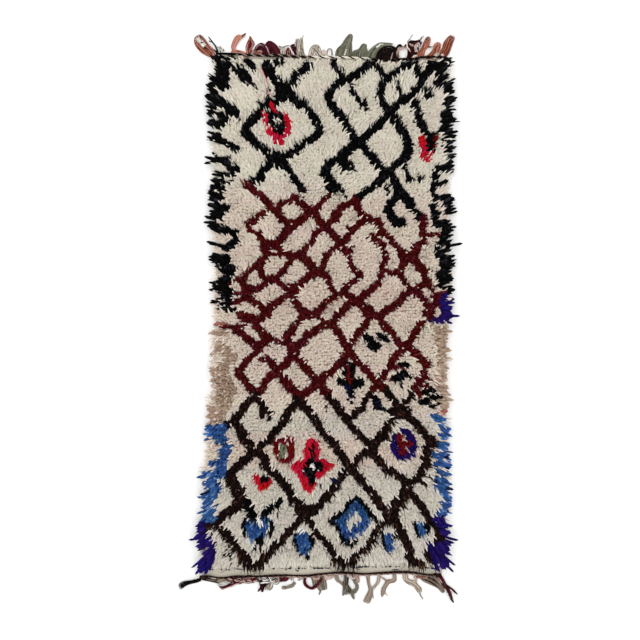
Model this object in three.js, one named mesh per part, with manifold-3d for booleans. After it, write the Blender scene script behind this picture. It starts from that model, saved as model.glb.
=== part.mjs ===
// Long hand-knotted wool rug lying flat. Millimetres, +Z up, the long way along Y.
// The origin is on the underside, at the middle of the rug with its fringes.

import * as THREE from 'three';
import { mergeVertices } from 'three/addons/utils/BufferGeometryUtils.js';
import Module from 'manifold-3d';

const wasm = await Module();
wasm.setup();

// Driving dimensions
const GAP = 0.3;
const GROUND_THICKNESS = 4;
const PILE_HEIGHT = 28;
const PILE_SWELL = 1.5;
const SELVEDGE_HEIGHT = 11;
const SELVEDGE_ROUNDING = 42;
const HEADING_WIDTH = 15;
const END_BAND_WIDTH = 50;
const END_SLOPE = 12;
const CORD_DIAMETER = 6;
const FRINGE_ROOT_WIDTH = 6;
const FRINGE_THICKNESS = 6;
const ROW_COUNT = 62;
const COLUMN_COUNT = 20;
const CORD_SIDES = 8;
const TUFT_STEPS = 6;
const SWELL_ACROSS = 58;
const SWELL_ALONG = 47;
const SWELL_BEND = 1.4;
const SWELL_BEND_LENGTH = 150;
const SWELL_SLANT = 160;
const COLUMN_EASING = 0.8;
const MERGE_DISTANCE = 1e-4;

// Pile edges on both sides, at distances along the rug from its middle
const SIDES = [
  { along: 1062, left: -410, right: 505 },
  { along: 1038, left: -424, right: 508 },
  { along: 982, left: -443, right: 523 },
  { along: 911, left: -448, right: 539 },
  { along: 847, left: -459, right: 550 },
  { along: 800, left: -440, right: 543 },
  { along: 756, left: -459, right: 535 },
  { along: 693, left: -436, right: 527 },
  { along: 614, left: -436, right: 543 },
  { along: 547, left: -432, right: 519 },
  { along: 475, left: -452, right: 527 },
  { along: 388, left: -436, right: 515 },
  { along: 317, left: -424, right: 535 },
  { along: 253, left: -432, right: 519 },
  { along: 190, left: -428, right: 539 },
  { along: 127, left: -455, right: 519 },
  { along: 32, left: -416, right: 554 },
  { along: -32, left: -424, right: 511 },
  { along: -119, left: -444, right: 507 },
  { along: -218, left: -440, right: 503 },
  { along: -285, left: -436, right: 495 },
  { along: -349, left: -467, right: 511 },
  { along: -396, left: -467, right: 519 },
  { along: -459, left: -459, right: 543 },
  { along: -523, left: -448, right: 511 },
  { along: -618, left: -459, right: 515 },
  { along: -693, left: -471, right: 523 },
  { along: -745, left: -495, right: 515 },
  { along: -792, left: -479, right: 495 },
  { along: -871, left: -487, right: 523 },
  { along: -931, left: -483, right: 527 },
  { along: -978, left: -495, right: 511 },
  { along: -1028, left: -478, right: 484 },
];

// Outer line of the woven ground at both ends, across the rug
const TOP_END = [
  { across: -480, along: 1060 },
  { across: -400, along: 1060 },
  { across: -260, along: 1054 },
  { across: -60, along: 1047 },
  { across: 120, along: 1043 },
  { across: 250, along: 1032 },
  { across: 370, along: 1037 },
  { across: 430, along: 1045 },
  { across: 560, along: 1042 },
];
const BOTTOM_END = [
  { across: -500, along: -1022 },
  { across: -400, along: -1026 },
  { across: -280, along: -1020 },
  { across: -60, along: -1018 },
  { across: 60, along: -1008 },
  { across: 180, along: -1011 },
  { across: 320, along: -1005 },
  { across: 430, along: -1014 },
  { across: 560, along: -1014 },
];

// Tufts, loops and tails of the fringes. Each leans sideways by lean while it reaches outwards by reach,
// and bend moves its middle sideways.
const TOP_TUFTS = [
  { at: -392, lean: -76, reach: 76, bend: -2, root: 14, middle: 34, tip: 24 },
  { at: -388, lean: -54, reach: 66, bend: 4, root: 6, middle: 6, tip: 4 },
  { at: -352, lean: 34, reach: 80, bend: -14, root: 10, middle: 20, tip: 6 },
  { at: -288, lean: 6, reach: 76, bend: 6, root: 14, middle: 24, tip: 5 },
  { at: -244, lean: 4, reach: 50, bend: 0, root: 36, middle: 32, tip: 14 },
  { at: -196, lean: -4, reach: 60, bend: 6, root: 56, middle: 60, tip: 24 },
  { at: -128, lean: 10, reach: 46, bend: 0, root: 40, middle: 34, tip: 16 },
  { at: -84, lean: 8, reach: 76, bend: 0, root: 32, middle: 30, tip: 22 },
  { at: -20, lean: 0, reach: 52, bend: 0, root: 44, middle: 44, tip: 20 },
  { at: 32, lean: 10, reach: 32, bend: -6, root: 6, middle: 6, tip: 5 },
  { at: 92, lean: 30, reach: 92, bend: -4, root: 56, middle: 36, tip: 12 },
  { at: 160, lean: 20, reach: 58, bend: 0, root: 48, middle: 26, tip: 12 },
  { at: 244, lean: 16, reach: 68, bend: -4, root: 96, middle: 92, tip: 30 },
  { at: 312, lean: 22, reach: 54, bend: -12, root: 20, middle: 12, tip: 10 },
  { at: 368, lean: 0, reach: 74, bend: 2, root: 44, middle: 50, tip: 34 },
  { at: 404, lean: 40, reach: 84, bend: -6, root: 24, middle: 22, tip: 16 },
  { at: 440, lean: 34, reach: 60, bend: 0, root: 34, middle: 30, tip: 14 },
  { at: 492, lean: 44, reach: 86, bend: -4, root: 26, middle: 28, tip: 14 },
];
const BOTTOM_TUFTS = [
  { at: -468, lean: -94, reach: 32, bend: 4, root: 8, middle: 14, tip: 21 },
  { at: -392, lean: -4, reach: 21, bend: 0, root: 44, middle: 44, tip: 38 },
  { at: -350, lean: -4, reach: 24, bend: 0, root: 46, middle: 46, tip: 42 },
  { at: -306, lean: -4, reach: 22, bend: 0, root: 46, middle: 44, tip: 36 },
  { at: -350, lean: -46, reach: 48, bend: 4, root: 26, middle: 20, tip: 15 },
  { at: -222, lean: -20, reach: 62, bend: 4, root: 48, middle: 36, tip: 12 },
  { at: -208, lean: 14, reach: 58, bend: 2, root: 20, middle: 13, tip: 6 },
  { at: -138, lean: -2, reach: 26, bend: 0, root: 46, middle: 42, tip: 30 },
  { at: -104, lean: -54, reach: 44, bend: 16, root: 10, middle: 11, tip: 9 },
  { at: -60, lean: 38, reach: 48, bend: -14, root: 8, middle: 8, tip: 8 },
  { at: -4, lean: 2, reach: 76, bend: 2, root: 56, middle: 50, tip: 8 },
  { at: 62, lean: 42, reach: 46, bend: -4, root: 12, middle: 12, tip: 12 },
  { at: 112, lean: 4, reach: 94, bend: -4, root: 28, middle: 28, tip: 20 },
  { at: 140, lean: -16, reach: 66, bend: 18, root: 10, middle: 10, tip: 12 },
  { at: 184, lean: 20, reach: 60, bend: 0, root: 9, middle: 9, tip: 10 },
  { at: 240, lean: -48, reach: 122, bend: 2, root: 10, middle: 14, tip: 36 },
  { at: 298, lean: -52, reach: 88, bend: -6, root: 12, middle: 20, tip: 12 },
  { at: 342, lean: 60, reach: 72, bend: -2, root: 26, middle: 30, tip: 12 },
  { at: 412, lean: 78, reach: 74, bend: 2, root: 60, middle: 44, tip: 18 },
  { at: 466, lean: 64, reach: 112, bend: 4, root: 26, middle: 20, tip: 12 },
];

const WOOL = { roughness: 0.95, metalness: 0 };
const MATERIALS = {
  body: new THREE.MeshStandardMaterial({ color: '#cfc5b1', ...WOOL }),
  twiningTop: new THREE.MeshStandardMaterial({ color: '#2a1a15', ...WOOL }),
  twiningBottom: new THREE.MeshStandardMaterial({ color: '#241712', ...WOOL }),
  fringeTop: new THREE.MeshStandardMaterial({ color: '#a8624a', ...WOOL }),
  fringeBottom: new THREE.MeshStandardMaterial({ color: '#9a8c7a', ...WOOL }),
};

// Value of one column of a table at a place between its rows
function readTable(table, key, at, column) {
  const rising = table[0][key] < table[table.length - 1][key];
  const rows = rising ? table : [...table].reverse();
  if (at <= rows[0][key]) return rows[0][column];
  for (let i = 1; i < rows.length; i += 1) {
    if (at <= rows[i][key]) {
      const share = (at - rows[i - 1][key]) / (rows[i][key] - rows[i - 1][key]);
      const eased = (1 - Math.cos(Math.PI * share)) / 2;
      return THREE.MathUtils.lerp(rows[i - 1][column], rows[i][column], eased);
    }
  }
  return rows[rows.length - 1][column];
}

const topEnd = (across) => readTable(TOP_END, 'across', across, 'along');
const bottomEnd = (across) => readTable(BOTTOM_END, 'across', across, 'along');

// Height of the pile: soft swells in the middle, rounded down to the selvedges and thin at both ends
function surfaceHeight(across, along, toSide) {
  const swell = Math.sin(across / SWELL_ACROSS + SWELL_BEND * Math.sin(along / SWELL_BEND_LENGTH))
    + Math.sin(along / SWELL_ALONG + across / SWELL_SLANT);
  const rounding = Math.sin(Math.min(toSide / SELVEDGE_ROUNDING, 1) * Math.PI / 2);
  const pile = THREE.MathUtils.lerp(SELVEDGE_HEIGHT, PILE_HEIGHT + PILE_SWELL * swell, rounding);
  const fromTop = topEnd(across) - along - HEADING_WIDTH;
  const fromBottom = along - bottomEnd(across) - END_BAND_WIDTH;
  const fromEnd = THREE.MathUtils.clamp(Math.min(fromTop, fromBottom) / END_SLOPE, 0, 1);
  return THREE.MathUtils.lerp(GROUND_THICKNESS, pile, fromEnd);
}

// Rows run closer where the pile starts and ends
function rowPlaces() {
  const length = topEnd(0) - bottomEnd(0);
  const start = [0, HEADING_WIDTH, HEADING_WIDTH + END_SLOPE].map((d) => d / length);
  const end = [END_BAND_WIDTH + END_SLOPE, END_BAND_WIDTH, 0].map((d) => 1 - d / length);
  const from = start[start.length - 1];
  const middle = [];
  for (let i = 1; i < ROW_COUNT; i += 1) {
    middle.push(from + (end[0] - from) * i / ROW_COUNT);
  }
  return [...start, ...middle, ...end];
}

// Columns run closer at the selvedges, where the pile rounds down
function columnPlaces() {
  const places = [];
  for (let i = 0; i <= COLUMN_COUNT; i += 1) {
    const even = i / COLUMN_COUNT;
    places.push(even - COLUMN_EASING * Math.sin(2 * Math.PI * even) / (2 * Math.PI));
  }
  return places;
}

// Places across the rug at one share of its length, from selvedge to selvedge
function acrossPlaces(down) {
  const along = THREE.MathUtils.lerp(topEnd(0), bottomEnd(0), down);
  const left = readTable(SIDES, 'along', along, 'left');
  const right = readTable(SIDES, 'along', along, 'right');
  return columnPlaces().map((over) => THREE.MathUtils.lerp(left, right, over));
}

// One closed sheet with a flat underside and an uneven upper side
function bodyGeometry() {
  const rows = rowPlaces();
  const last = COLUMN_COUNT;
  const positions = [];
  const triangles = [];
  const upper = [];
  const lower = [];
  const addPoint = (x, y, z) => positions.push(x, y, z) / 3 - 1;
  const addQuad = (a, b, c, d) => triangles.push(a, b, c, a, c, d);

  for (const down of rows) {
    const across = acrossPlaces(down);
    const upperRow = [];
    const lowerRow = [];
    for (const x of across) {
      const y = THREE.MathUtils.lerp(topEnd(x), bottomEnd(x), down);
      const toSide = Math.min(x - across[0], across[last] - x);
      upperRow.push(addPoint(x, y, surfaceHeight(x, y, toSide)));
      lowerRow.push(addPoint(x, y, 0));
    }
    upper.push(upperRow);
    lower.push(lowerRow);
  }
  for (let i = 1; i < rows.length; i += 1) {
    for (let j = 1; j <= last; j += 1) {
      addQuad(upper[i - 1][j - 1], upper[i][j - 1], upper[i][j], upper[i - 1][j]);
      addQuad(lower[i - 1][j - 1], lower[i - 1][j], lower[i][j], lower[i][j - 1]);
    }
    addQuad(upper[i - 1][0], lower[i - 1][0], lower[i][0], upper[i][0]);
    addQuad(upper[i - 1][last], upper[i][last], lower[i][last], lower[i - 1][last]);
  }
  const end = rows.length - 1;
  for (let j = 1; j <= last; j += 1) {
    addQuad(upper[0][j - 1], upper[0][j], lower[0][j], lower[0][j - 1]);
    addQuad(upper[end][j - 1], lower[end][j - 1], lower[end][j], upper[end][j]);
  }
  const geometry = new THREE.BufferGeometry();
  geometry.setAttribute('position', new THREE.Float32BufferAttribute(positions, 3));
  geometry.setIndex(triangles);
  return geometry;
}

// Round cord with flats above and below, beside one end of the ground
function cordGeometry({ places, endLine, side }) {
  const offset = side * (GAP + CORD_DIAMETER / 2);
  const radius = CORD_DIAMETER / 2 / Math.cos(Math.PI / CORD_SIDES);
  const positions = [];
  const triangles = [];
  for (const x of places) {
    for (let i = 0; i < CORD_SIDES; i += 1) {
      const angle = (i + 0.5) * 2 * Math.PI / CORD_SIDES;
      const y = endLine(x) + offset + radius * Math.cos(angle);
      positions.push(x, y, CORD_DIAMETER / 2 + radius * Math.sin(angle));
    }
  }
  for (let ring = 1; ring < places.length; ring += 1) {
    for (let i = 0; i < CORD_SIDES; i += 1) {
      const next = (i + 1) % CORD_SIDES;
      const [a, b] = [(ring - 1) * CORD_SIDES + i, (ring - 1) * CORD_SIDES + next];
      triangles.push(a, b, b + CORD_SIDES, a, b + CORD_SIDES, a + CORD_SIDES);
    }
  }
  const far = (places.length - 1) * CORD_SIDES;
  for (let i = 2; i < CORD_SIDES; i += 1) {
    triangles.push(0, i, i - 1, far, far + i - 1, far + i);
  }
  const geometry = new THREE.BufferGeometry();
  geometry.setAttribute('position', new THREE.Float32BufferAttribute(positions, 3));
  geometry.setIndex(triangles);
  return geometry;
}

// Width of a tuft at one share of its way from root to tip
function tuftWidth(tuft, t) {
  if (t < 0.5) return THREE.MathUtils.lerp(tuft.root, tuft.middle, t * 2);
  return THREE.MathUtils.lerp(tuft.middle, tuft.tip, t * 2 - 1);
}

// Outline of one tuft along its curved line. Its root is cut along the end of the rug, and the tip of a
// slender tuft is cut square to its line.
function tuftShape(tuft, { endLine, side }, rootOffset) {
  const root = new THREE.Vector2(tuft.at, endLine(tuft.at) + side * rootOffset);
  const tip = new THREE.Vector2(root.x + tuft.lean, root.y + side * (tuft.reach - rootOffset));
  const middle = root.clone().add(tip).multiplyScalar(0.5);
  middle.x += tuft.bend;
  const curve = new THREE.SplineCurve([root, middle, tip]);
  const slender = Math.min(tuft.reach / tuft.middle / 2, 1);
  const left = [];
  const right = [];
  for (let i = 0; i <= TUFT_STEPS; i += 1) {
    const t = i / TUFT_STEPS;
    const square = curve.getTangent(t).rotateAround(new THREE.Vector2(), -side * Math.PI / 2);
    const over = new THREE.Vector2(1, 0).lerp(square, t * slender).setLength(tuftWidth(tuft, t) / 2);
    const point = curve.getPoint(t);
    left.push(point.clone().sub(over));
    right.push(point.clone().add(over));
  }
  left[0].y = endLine(left[0].x) + side * rootOffset;
  right[0].y = endLine(right[0].x) + side * rootOffset;
  return new THREE.Shape([...left, ...right.reverse()]);
}

// Strip from which the tufts grow, along one end
function stripShape({ places, endLine, side }, rootOffset) {
  const edge = (offset) => places.map((x) => new THREE.Vector2(x, endLine(x) + side * offset));
  const inner = edge(rootOffset - FRINGE_ROOT_WIDTH / 2);
  const outer = edge(rootOffset + FRINGE_ROOT_WIDTH / 2);
  return new THREE.Shape([...inner, ...outer.reverse()]);
}

function toSolid(geometry) {
  const bare = geometry.clone();
  bare.deleteAttribute('normal');
  bare.deleteAttribute('uv');
  const merged = mergeVertices(bare, MERGE_DISTANCE);
  return new wasm.Manifold(new wasm.Mesh({
    numProp: 3,
    vertProperties: new Float32Array(merged.attributes.position.array),
    triVerts: new Uint32Array(merged.index.array),
  }));
}

function toGeometry(solid) {
  const mesh = solid.getMesh();
  const geometry = new THREE.BufferGeometry();
  geometry.setAttribute('position', new THREE.BufferAttribute(mesh.vertProperties, 3));
  geometry.setIndex(new THREE.BufferAttribute(mesh.triVerts, 1));
  return geometry;
}

// All tufts of one end joined with their strip into one flat comb
function fringeGeometry(end, tufts) {
  const rootOffset = GAP + CORD_DIAMETER + GAP + FRINGE_ROOT_WIDTH / 2;
  const thick = (shape) => toSolid(new THREE.ExtrudeGeometry(shape, {
    depth: FRINGE_THICKNESS,
    bevelEnabled: false,
  }));
  let comb = thick(stripShape(end, rootOffset));
  for (const tuft of tufts) {
    comb = comb.add(thick(tuftShape(tuft, end, rootOffset)));
  }
  return toGeometry(comb);
}

function addPiece(group, name, geometry, material) {
  const mesh = new THREE.Mesh(geometry, material);
  mesh.name = name;
  group.add(mesh);
}

const TOP = { places: acrossPlaces(0), endLine: topEnd, side: 1 };
const BOTTOM = { places: acrossPlaces(1), endLine: bottomEnd, side: -1 };

const rug = new THREE.Group();
addPiece(rug, 'rug_body', bodyGeometry(), MATERIALS.body);
addPiece(rug, 'twining_top', cordGeometry(TOP), MATERIALS.twiningTop);
addPiece(rug, 'twining_bottom', cordGeometry(BOTTOM), MATERIALS.twiningBottom);
addPiece(rug, 'fringe_top', fringeGeometry(TOP, TOP_TUFTS), MATERIALS.fringeTop);
addPiece(rug, 'fringe_bottom', fringeGeometry(BOTTOM, BOTTOM_TUFTS), MATERIALS.fringeBottom);

// The tables count from the middle of the pile, and the origin lies under the middle of the whole
const outer = new THREE.Box3().setFromObject(rug).getCenter(new THREE.Vector3());
rug.position.set(-outer.x, -outer.y, 0);

export default rug;
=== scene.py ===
import math

import bpy
import numpy as np
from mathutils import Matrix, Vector


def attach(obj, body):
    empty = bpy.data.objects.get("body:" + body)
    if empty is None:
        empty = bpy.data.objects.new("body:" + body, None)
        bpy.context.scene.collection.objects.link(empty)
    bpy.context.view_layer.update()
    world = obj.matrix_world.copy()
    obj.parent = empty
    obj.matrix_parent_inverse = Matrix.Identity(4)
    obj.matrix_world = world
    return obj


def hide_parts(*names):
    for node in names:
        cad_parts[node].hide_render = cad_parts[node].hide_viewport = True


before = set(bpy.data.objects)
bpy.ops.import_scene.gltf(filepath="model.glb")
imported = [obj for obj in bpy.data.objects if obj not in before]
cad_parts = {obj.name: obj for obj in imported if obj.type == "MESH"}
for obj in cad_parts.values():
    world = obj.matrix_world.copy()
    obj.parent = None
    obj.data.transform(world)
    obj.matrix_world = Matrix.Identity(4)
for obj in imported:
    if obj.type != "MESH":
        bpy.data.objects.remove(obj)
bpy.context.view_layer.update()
rootBody = "root"
mm = 0.001

# The pattern's places were read off the photograph and listed, then set right against overlays of it.
# One chart square is one pixel of the photograph, counted from its middle.
# What is charted is where the yarn ends show from above, so strands are looked up by their upper part.
chart = {
    "square": 4.0 * mm,  # one square on the floor, and one pixel of the photograph
    "middle": (5.15 * mm, -3.27 * mm),
}


def onChart(across, along):
    return chart["middle"][0] + across * chart["square"], chart["middle"][1] + along * chart["square"]


print("camera, light and floor")
photoView = {
    "height": 2.6,
    "frameWidth": 2.56,  # of floor in the picture
    "sensor": 36.0,
}
studio = {
    "skyStrength": 1.05,
    "panelPower": 22.0,
    "panelSize": 3.2,
    "floorHex": "#f7f7f6",
}


def linear(hexColour):
    channels = [int(hexColour[i : i + 2], 16) / 255 for i in (1, 3, 5)]
    lin = [c / 12.92 if c <= 0.04045 else ((c + 0.055) / 1.055) ** 2.4 for c in channels]
    return (*lin, 1.0)


def addNode(tree, kind, settings=None, links=None):
    node = tree.nodes.new(kind)
    for key, value in (settings or {}).items():
        if isinstance(key, int) or key in node.inputs:
            node.inputs[key].default_value = value
        else:
            setattr(node, key, value)
    for socket, source in (links or {}).items():
        tree.links.new(source, node.inputs[socket])
    return node


def newMaterial(name):
    material = bpy.data.materials.new(name)
    material.use_nodes = True
    material.node_tree.nodes.clear()
    return material, material.node_tree


def putOnMaterial(piece, material):
    piece.data.materials.clear()
    piece.data.materials.append(material)


# The chart square on the floor that a point hides from the camera
def seenSquare(points):
    share = photoView["height"] / (photoView["height"] - points[..., 2:3])
    return (points[..., :2] - np.array(chart["middle"])) * share / chart["square"]


def makeCamera():
    data = bpy.data.cameras.new("photoCamera")
    data.sensor_width = photoView["sensor"]
    data.lens = photoView["sensor"] * photoView["height"] / photoView["frameWidth"]
    camera = bpy.data.objects.new("photoCamera", data)
    bpy.context.scene.collection.objects.link(camera)
    camera.location = (*chart["middle"], photoView["height"])
    bpy.context.scene.camera = camera


def makeLight():
    world = bpy.data.worlds.new("studioSky")
    bpy.context.scene.world = world
    world.use_nodes = True
    sky = world.node_tree.nodes["Background"]
    sky.inputs["Color"].default_value = (1.0, 1.0, 1.0, 1.0)
    sky.inputs["Strength"].default_value = studio["skyStrength"]
    for name, place in (("panelLeft", (-1.8, 1.0, 2.9)), ("panelRight", (2.2, -0.6, 3.1))):
        data = bpy.data.lights.new(name, "AREA")
        data.shape = "DISK"
        data.size = studio["panelSize"]
        data.energy = studio["panelPower"]
        panel = bpy.data.objects.new(name, data)
        bpy.context.scene.collection.objects.link(panel)
        panel.location = place
        panel.rotation_euler = (-Vector(place)).to_track_quat("-Z", "Y").to_euler()
    bpy.context.scene.view_settings.view_transform = "Standard"


def makeFloor():
    bpy.ops.object.select_all(action="DESELECT")
    bpy.ops.mesh.primitive_plane_add(size=14.0, location=(0, 0, -0.0004))
    floor = bpy.context.active_object
    floor.name = "floor"
    material, tree = newMaterial("matt painted studio floor")
    shader = addNode(tree, "ShaderNodeBsdfPrincipled", {"Roughness": 0.9})
    shader.inputs["Base Color"].default_value = linear(studio["floorHex"])
    shader.inputs["Specular IOR Level"].default_value = 0.2
    addNode(tree, "ShaderNodeOutputMaterial", links={"Surface": shader.outputs[0]})
    putOnMaterial(floor, material)


makeCamera()
makeLight()
makeFloor()

print("outline of the woven ground")
# Edges of the cream border, in chart squares: along, left, right
selvedges = [
    (266, -99, 124),
    (250, -103, 127),
    (225, -106, 127),
    (200, -106, 127),
    (170, -106, 127),
    (120, -105, 127),
    (70, -104, 127),
    (20, -104, 127),
    (-30, -106, 125),
    (-80, -109, 124),
    (-130, -112, 125),
    (-150, -113, 127),
    (-180, -114, 127),
    (-210, -117, 125),
    (-240, -118, 124),
    (-257, -118, 121),
]
# Outer edge of the woven ground at both ends, in chart squares: across, top, bottom
ends = [
    (-125, 266, -256.5),
    (-98, 265.8, -257),
    (-84, 265, -256.2),
    (-68, 264.2, -256.2),
    (-55, 263.8, -256),
    (-35, 264, -255.2),
    (-14, 262.4, -255.5),
    (15, 262, -252.8),
    (38, 261.2, -253.2),
    (62, 258.9, -253),
    (80, 259.8, -252),
    (93, 260.8, -252.6),
    (107, 262.4, -254.5),
    (130, 261, -254.2),
]


def tableLine(table, column):
    rows = sorted(table)
    return [row[0] for row in rows], [row[column] for row in rows]


def sideLine(along, side):
    return np.interp(along, *tableLine(selvedges, 1 if side < 0 else 2))


def endLine(across, end):
    return np.interp(across, *tableLine(ends, 1 if end > 0 else 2))


# Point of the ground at shares of its width and length, in chart squares
def groundPoint(over, up, inset=0.0):
    along = endLine(0.0, -1) + up * (endLine(0.0, 1) - endLine(0.0, -1))
    left, right = sideLine(along, -1) + inset, sideLine(along, 1) - inset
    across = left + over * (right - left)
    low, high = endLine(across, -1), endLine(across, 1)
    return across, low + up * (high - low)


print("woven ground")
ground = {
    "thickness": 4.0 * mm,
    "columns": 40,
    "rows": 110,
    "inset": 2.6,  # chart squares from the edge of the border, which the pile overhangs
    "weftStep": 3.6 * mm,
    "warpStep": 5.0 * mm,
    "hex": "#cdc6b7",
    "shadeHex": "#b3ab9a",
    "bump": 0.35,
}


def makeGround():
    bpy.ops.object.select_all(action="DESELECT")
    bpy.ops.mesh.primitive_grid_add(x_subdivisions=ground["columns"], y_subdivisions=ground["rows"], size=1)
    cloth = bpy.context.active_object
    cloth.name = "ground_cloth"
    places = np.empty(len(cloth.data.vertices) * 3)
    cloth.data.vertices.foreach_get("co", places)
    places = places.reshape(-1, 3)
    up = places[:, 1] + 0.5
    inset = ground["inset"] * np.clip(12 * up - 1, 0, 1) * np.clip(16 * (1 - up) - 0.3, 0, 1)
    across, along = groundPoint(places[:, 0] + 0.5, up, inset)
    places[:, 0], places[:, 1] = onChart(across, along)
    places[:, 2] = 0.0003
    cloth.data.vertices.foreach_set("co", places.ravel())
    cloth.data.update()
    thicken = cloth.modifiers.new("thickness", "SOLIDIFY")
    thicken.thickness = ground["thickness"] - 0.0003
    thicken.offset = 1.0
    bpy.ops.object.modifier_apply(modifier=thicken.name)
    return cloth


# Plain weft-faced weave: ribs of hand-spun weft across the rug, pinched at each warp
def weaveMaterial():
    material, tree = newMaterial("weft-faced plain weave of undyed hand-spun wool")
    place = addNode(tree, "ShaderNodeTexCoord")
    split = addNode(tree, "ShaderNodeSeparateXYZ", links={"Vector": place.outputs["Object"]})
    ribs = addNode(tree, "ShaderNodeMath", {"operation": "MULTIPLY", 1: 2 * math.pi / ground["weftStep"]},
                   {0: split.outputs["Y"]})
    warps = addNode(tree, "ShaderNodeMath", {"operation": "MULTIPLY", 1: 2 * math.pi / ground["warpStep"]},
                    {0: split.outputs["X"]})
    ribWave = addNode(tree, "ShaderNodeMath", {"operation": "SINE"}, {0: ribs.outputs[0]})
    warpWave = addNode(tree, "ShaderNodeMath", {"operation": "SINE"}, {0: warps.outputs[0]})
    both = addNode(tree, "ShaderNodeMath", {"operation": "MULTIPLY"},
                   {0: ribWave.outputs[0], 1: warpWave.outputs[0]})
    fibres = addNode(tree, "ShaderNodeTexNoise", {"Scale": 420.0, "Detail": 3.0},
                     {"Vector": place.outputs["Object"]})
    stains = addNode(tree, "ShaderNodeTexNoise", {"Scale": 9.0, "Detail": 2.0},
                     {"Vector": place.outputs["Object"]})
    height = addNode(tree, "ShaderNodeMath", {"operation": "ADD"},
                     {0: both.outputs[0], 1: fibres.outputs["Fac"]})
    shade = addNode(tree, "ShaderNodeMix", {"data_type": "RGBA"}, {0: stains.outputs["Fac"]})
    shade.inputs[6].default_value = linear(ground["hex"])
    shade.inputs[7].default_value = linear(ground["shadeHex"])
    bump = addNode(tree, "ShaderNodeBump", {"Strength": ground["bump"], "Distance": 0.0008},
                   {"Height": height.outputs[0]})
    shader = addNode(tree, "ShaderNodeBsdfPrincipled", {"Roughness": 0.9},
                     {"Base Color": shade.outputs[2], "Normal": bump.outputs[0]})
    shader.inputs["Specular IOR Level"].default_value = 0.15
    addNode(tree, "ShaderNodeOutputMaterial", links={"Surface": shader.outputs[0]})
    return material


groundCloth = makeGround()
putOnMaterial(groundCloth, weaveMaterial())
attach(groundCloth, rootBody)
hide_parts("rug_body")

print("chart of the pattern")
# Lines of dyed knots as (width, points), all in chart squares, drawn one over the other
blackLines = [
    (8, [(-80, 251), (-75, 246), (-71, 240)]), (2.5, [(-70, 239), (-65, 232)]),
    (4, [(-87, 253), (-79, 242), (-75, 237)]),
    (3.5, [(-72, 242), (-68, 237), (-64.5, 232)]), (2, [(-95, 260), (-89, 262), (-82, 262)]),
    (6, [(-75, 262), (-70, 256), (-66, 251)]), (2, [(-70, 256), (-65, 252)]),
    (5, [(-44, 262), (-43, 254)]), (3.5, [(-39, 264), (-37, 257)]), (11, [(-53, 254), (-50, 247)]),
    (9.5, [(-48, 246), (-42, 238), (-35, 231), (-28, 223), (-22, 217)]),
    (8, [(-23, 219), (-15, 215), (-8, 206), (-2, 196), (-1, 188)]),
    (7.5, [(0, 187), (-10, 181), (-21, 172), (-33, 165), (-43, 161), (-36, 158), (-29, 147), (-21, 135),
           (-17, 130)]),
    (8.5, [(-11, 255), (-19, 247), (-27, 238), (-36, 229)]), (7, [(-42, 231), (-43, 219)]),
    (2, [(-51, 232), (-51, 222)]), (5, [(-38, 226), (-36, 221)]),
    (8, [(-37, 223), (-43, 218), (-50, 217), (-58, 214), (-62, 206), (-68, 199), (-74, 194), (-75, 187)]),
    (8, [(-75, 188), (-64, 176), (-53, 167), (-44, 161), (-54, 153), (-59, 144), (-67, 138)]),
    (12, [(-45, 165), (-41, 158)]),
    (6, [(13, 262), (16, 250)]), (6, [(21, 248), (21, 244)]),
    (8, [(53, 259), (43, 250), (33, 243), (24, 240), (13, 232), (8, 223), (14, 212), (23, 202), (30, 190),
         (36, 180)]),
    (8, [(38, 180), (46, 170), (54, 160), (61, 151)]),
    (4, [(30, 238), (33, 228), (38, 221), (41, 215)]), (3, [(45, 220), (46, 210)]),
    (6, [(53, 259), (64, 244)]), (6, [(94, 259), (98, 245)]),
    (7.5, [(90, 257), (78, 249), (70, 243), (63, 235), (60, 227), (63, 218), (67, 210), (69, 206)]),
    (8, [(111, 252), (105, 245), (101, 237), (96, 230), (90, 224), (82, 219), (75, 213), (69, 205),
         (59, 196), (49, 187), (39, 178)]),
    (10, [(38, 179), (30, 171), (22, 163), (10, 158), (5, 148), (9, 140), (13, 131)]),
    (5, [(76, 236), (79, 228), (82, 223)]),
    (9, [(69, 207), (76, 200), (81, 191), (87, 181), (89, 170)]),
    (9, [(89, 174), (88, 169), (85, 163)]), (7.5, [(85, 163), (77, 156), (67, 147), (57, 136), (44, 127),
                                                   (37, 121)]),
    (7.5, [(95, 219), (98, 209), (100, 200), (104, 190)]), (8, [(107, 229), (110, 224)]),
    (11, [(24, 155), (29, 154)]), (2.5, [(28, 149), (37, 149)]), (7, [(5, 149), (5, 145)]),
    (4, [(16, 138), (21, 131), (26, 124)]), (5.5, [(84, 160), (86, 150), (89, 142)]),
    (4.5, [(88, 140), (95, 141), (102, 141)]),
    (7, [(70, 147), (73, 140), (77, 134)]), (9.5, [(75, 137), (82, 128), (86, 122), (91, 117)]),
    (8.5, [(79, 125), (71, 119), (68, 111)]),
    (9, [(68, 111), (72, 103), (77, 97), (82, 98)]), (5, [(88, 113), (96, 109), (102, 104)]),
    (2.5, [(66, 134), (68, 126)]), (6, [(98, 103), (103, 99)]),
]
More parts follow.
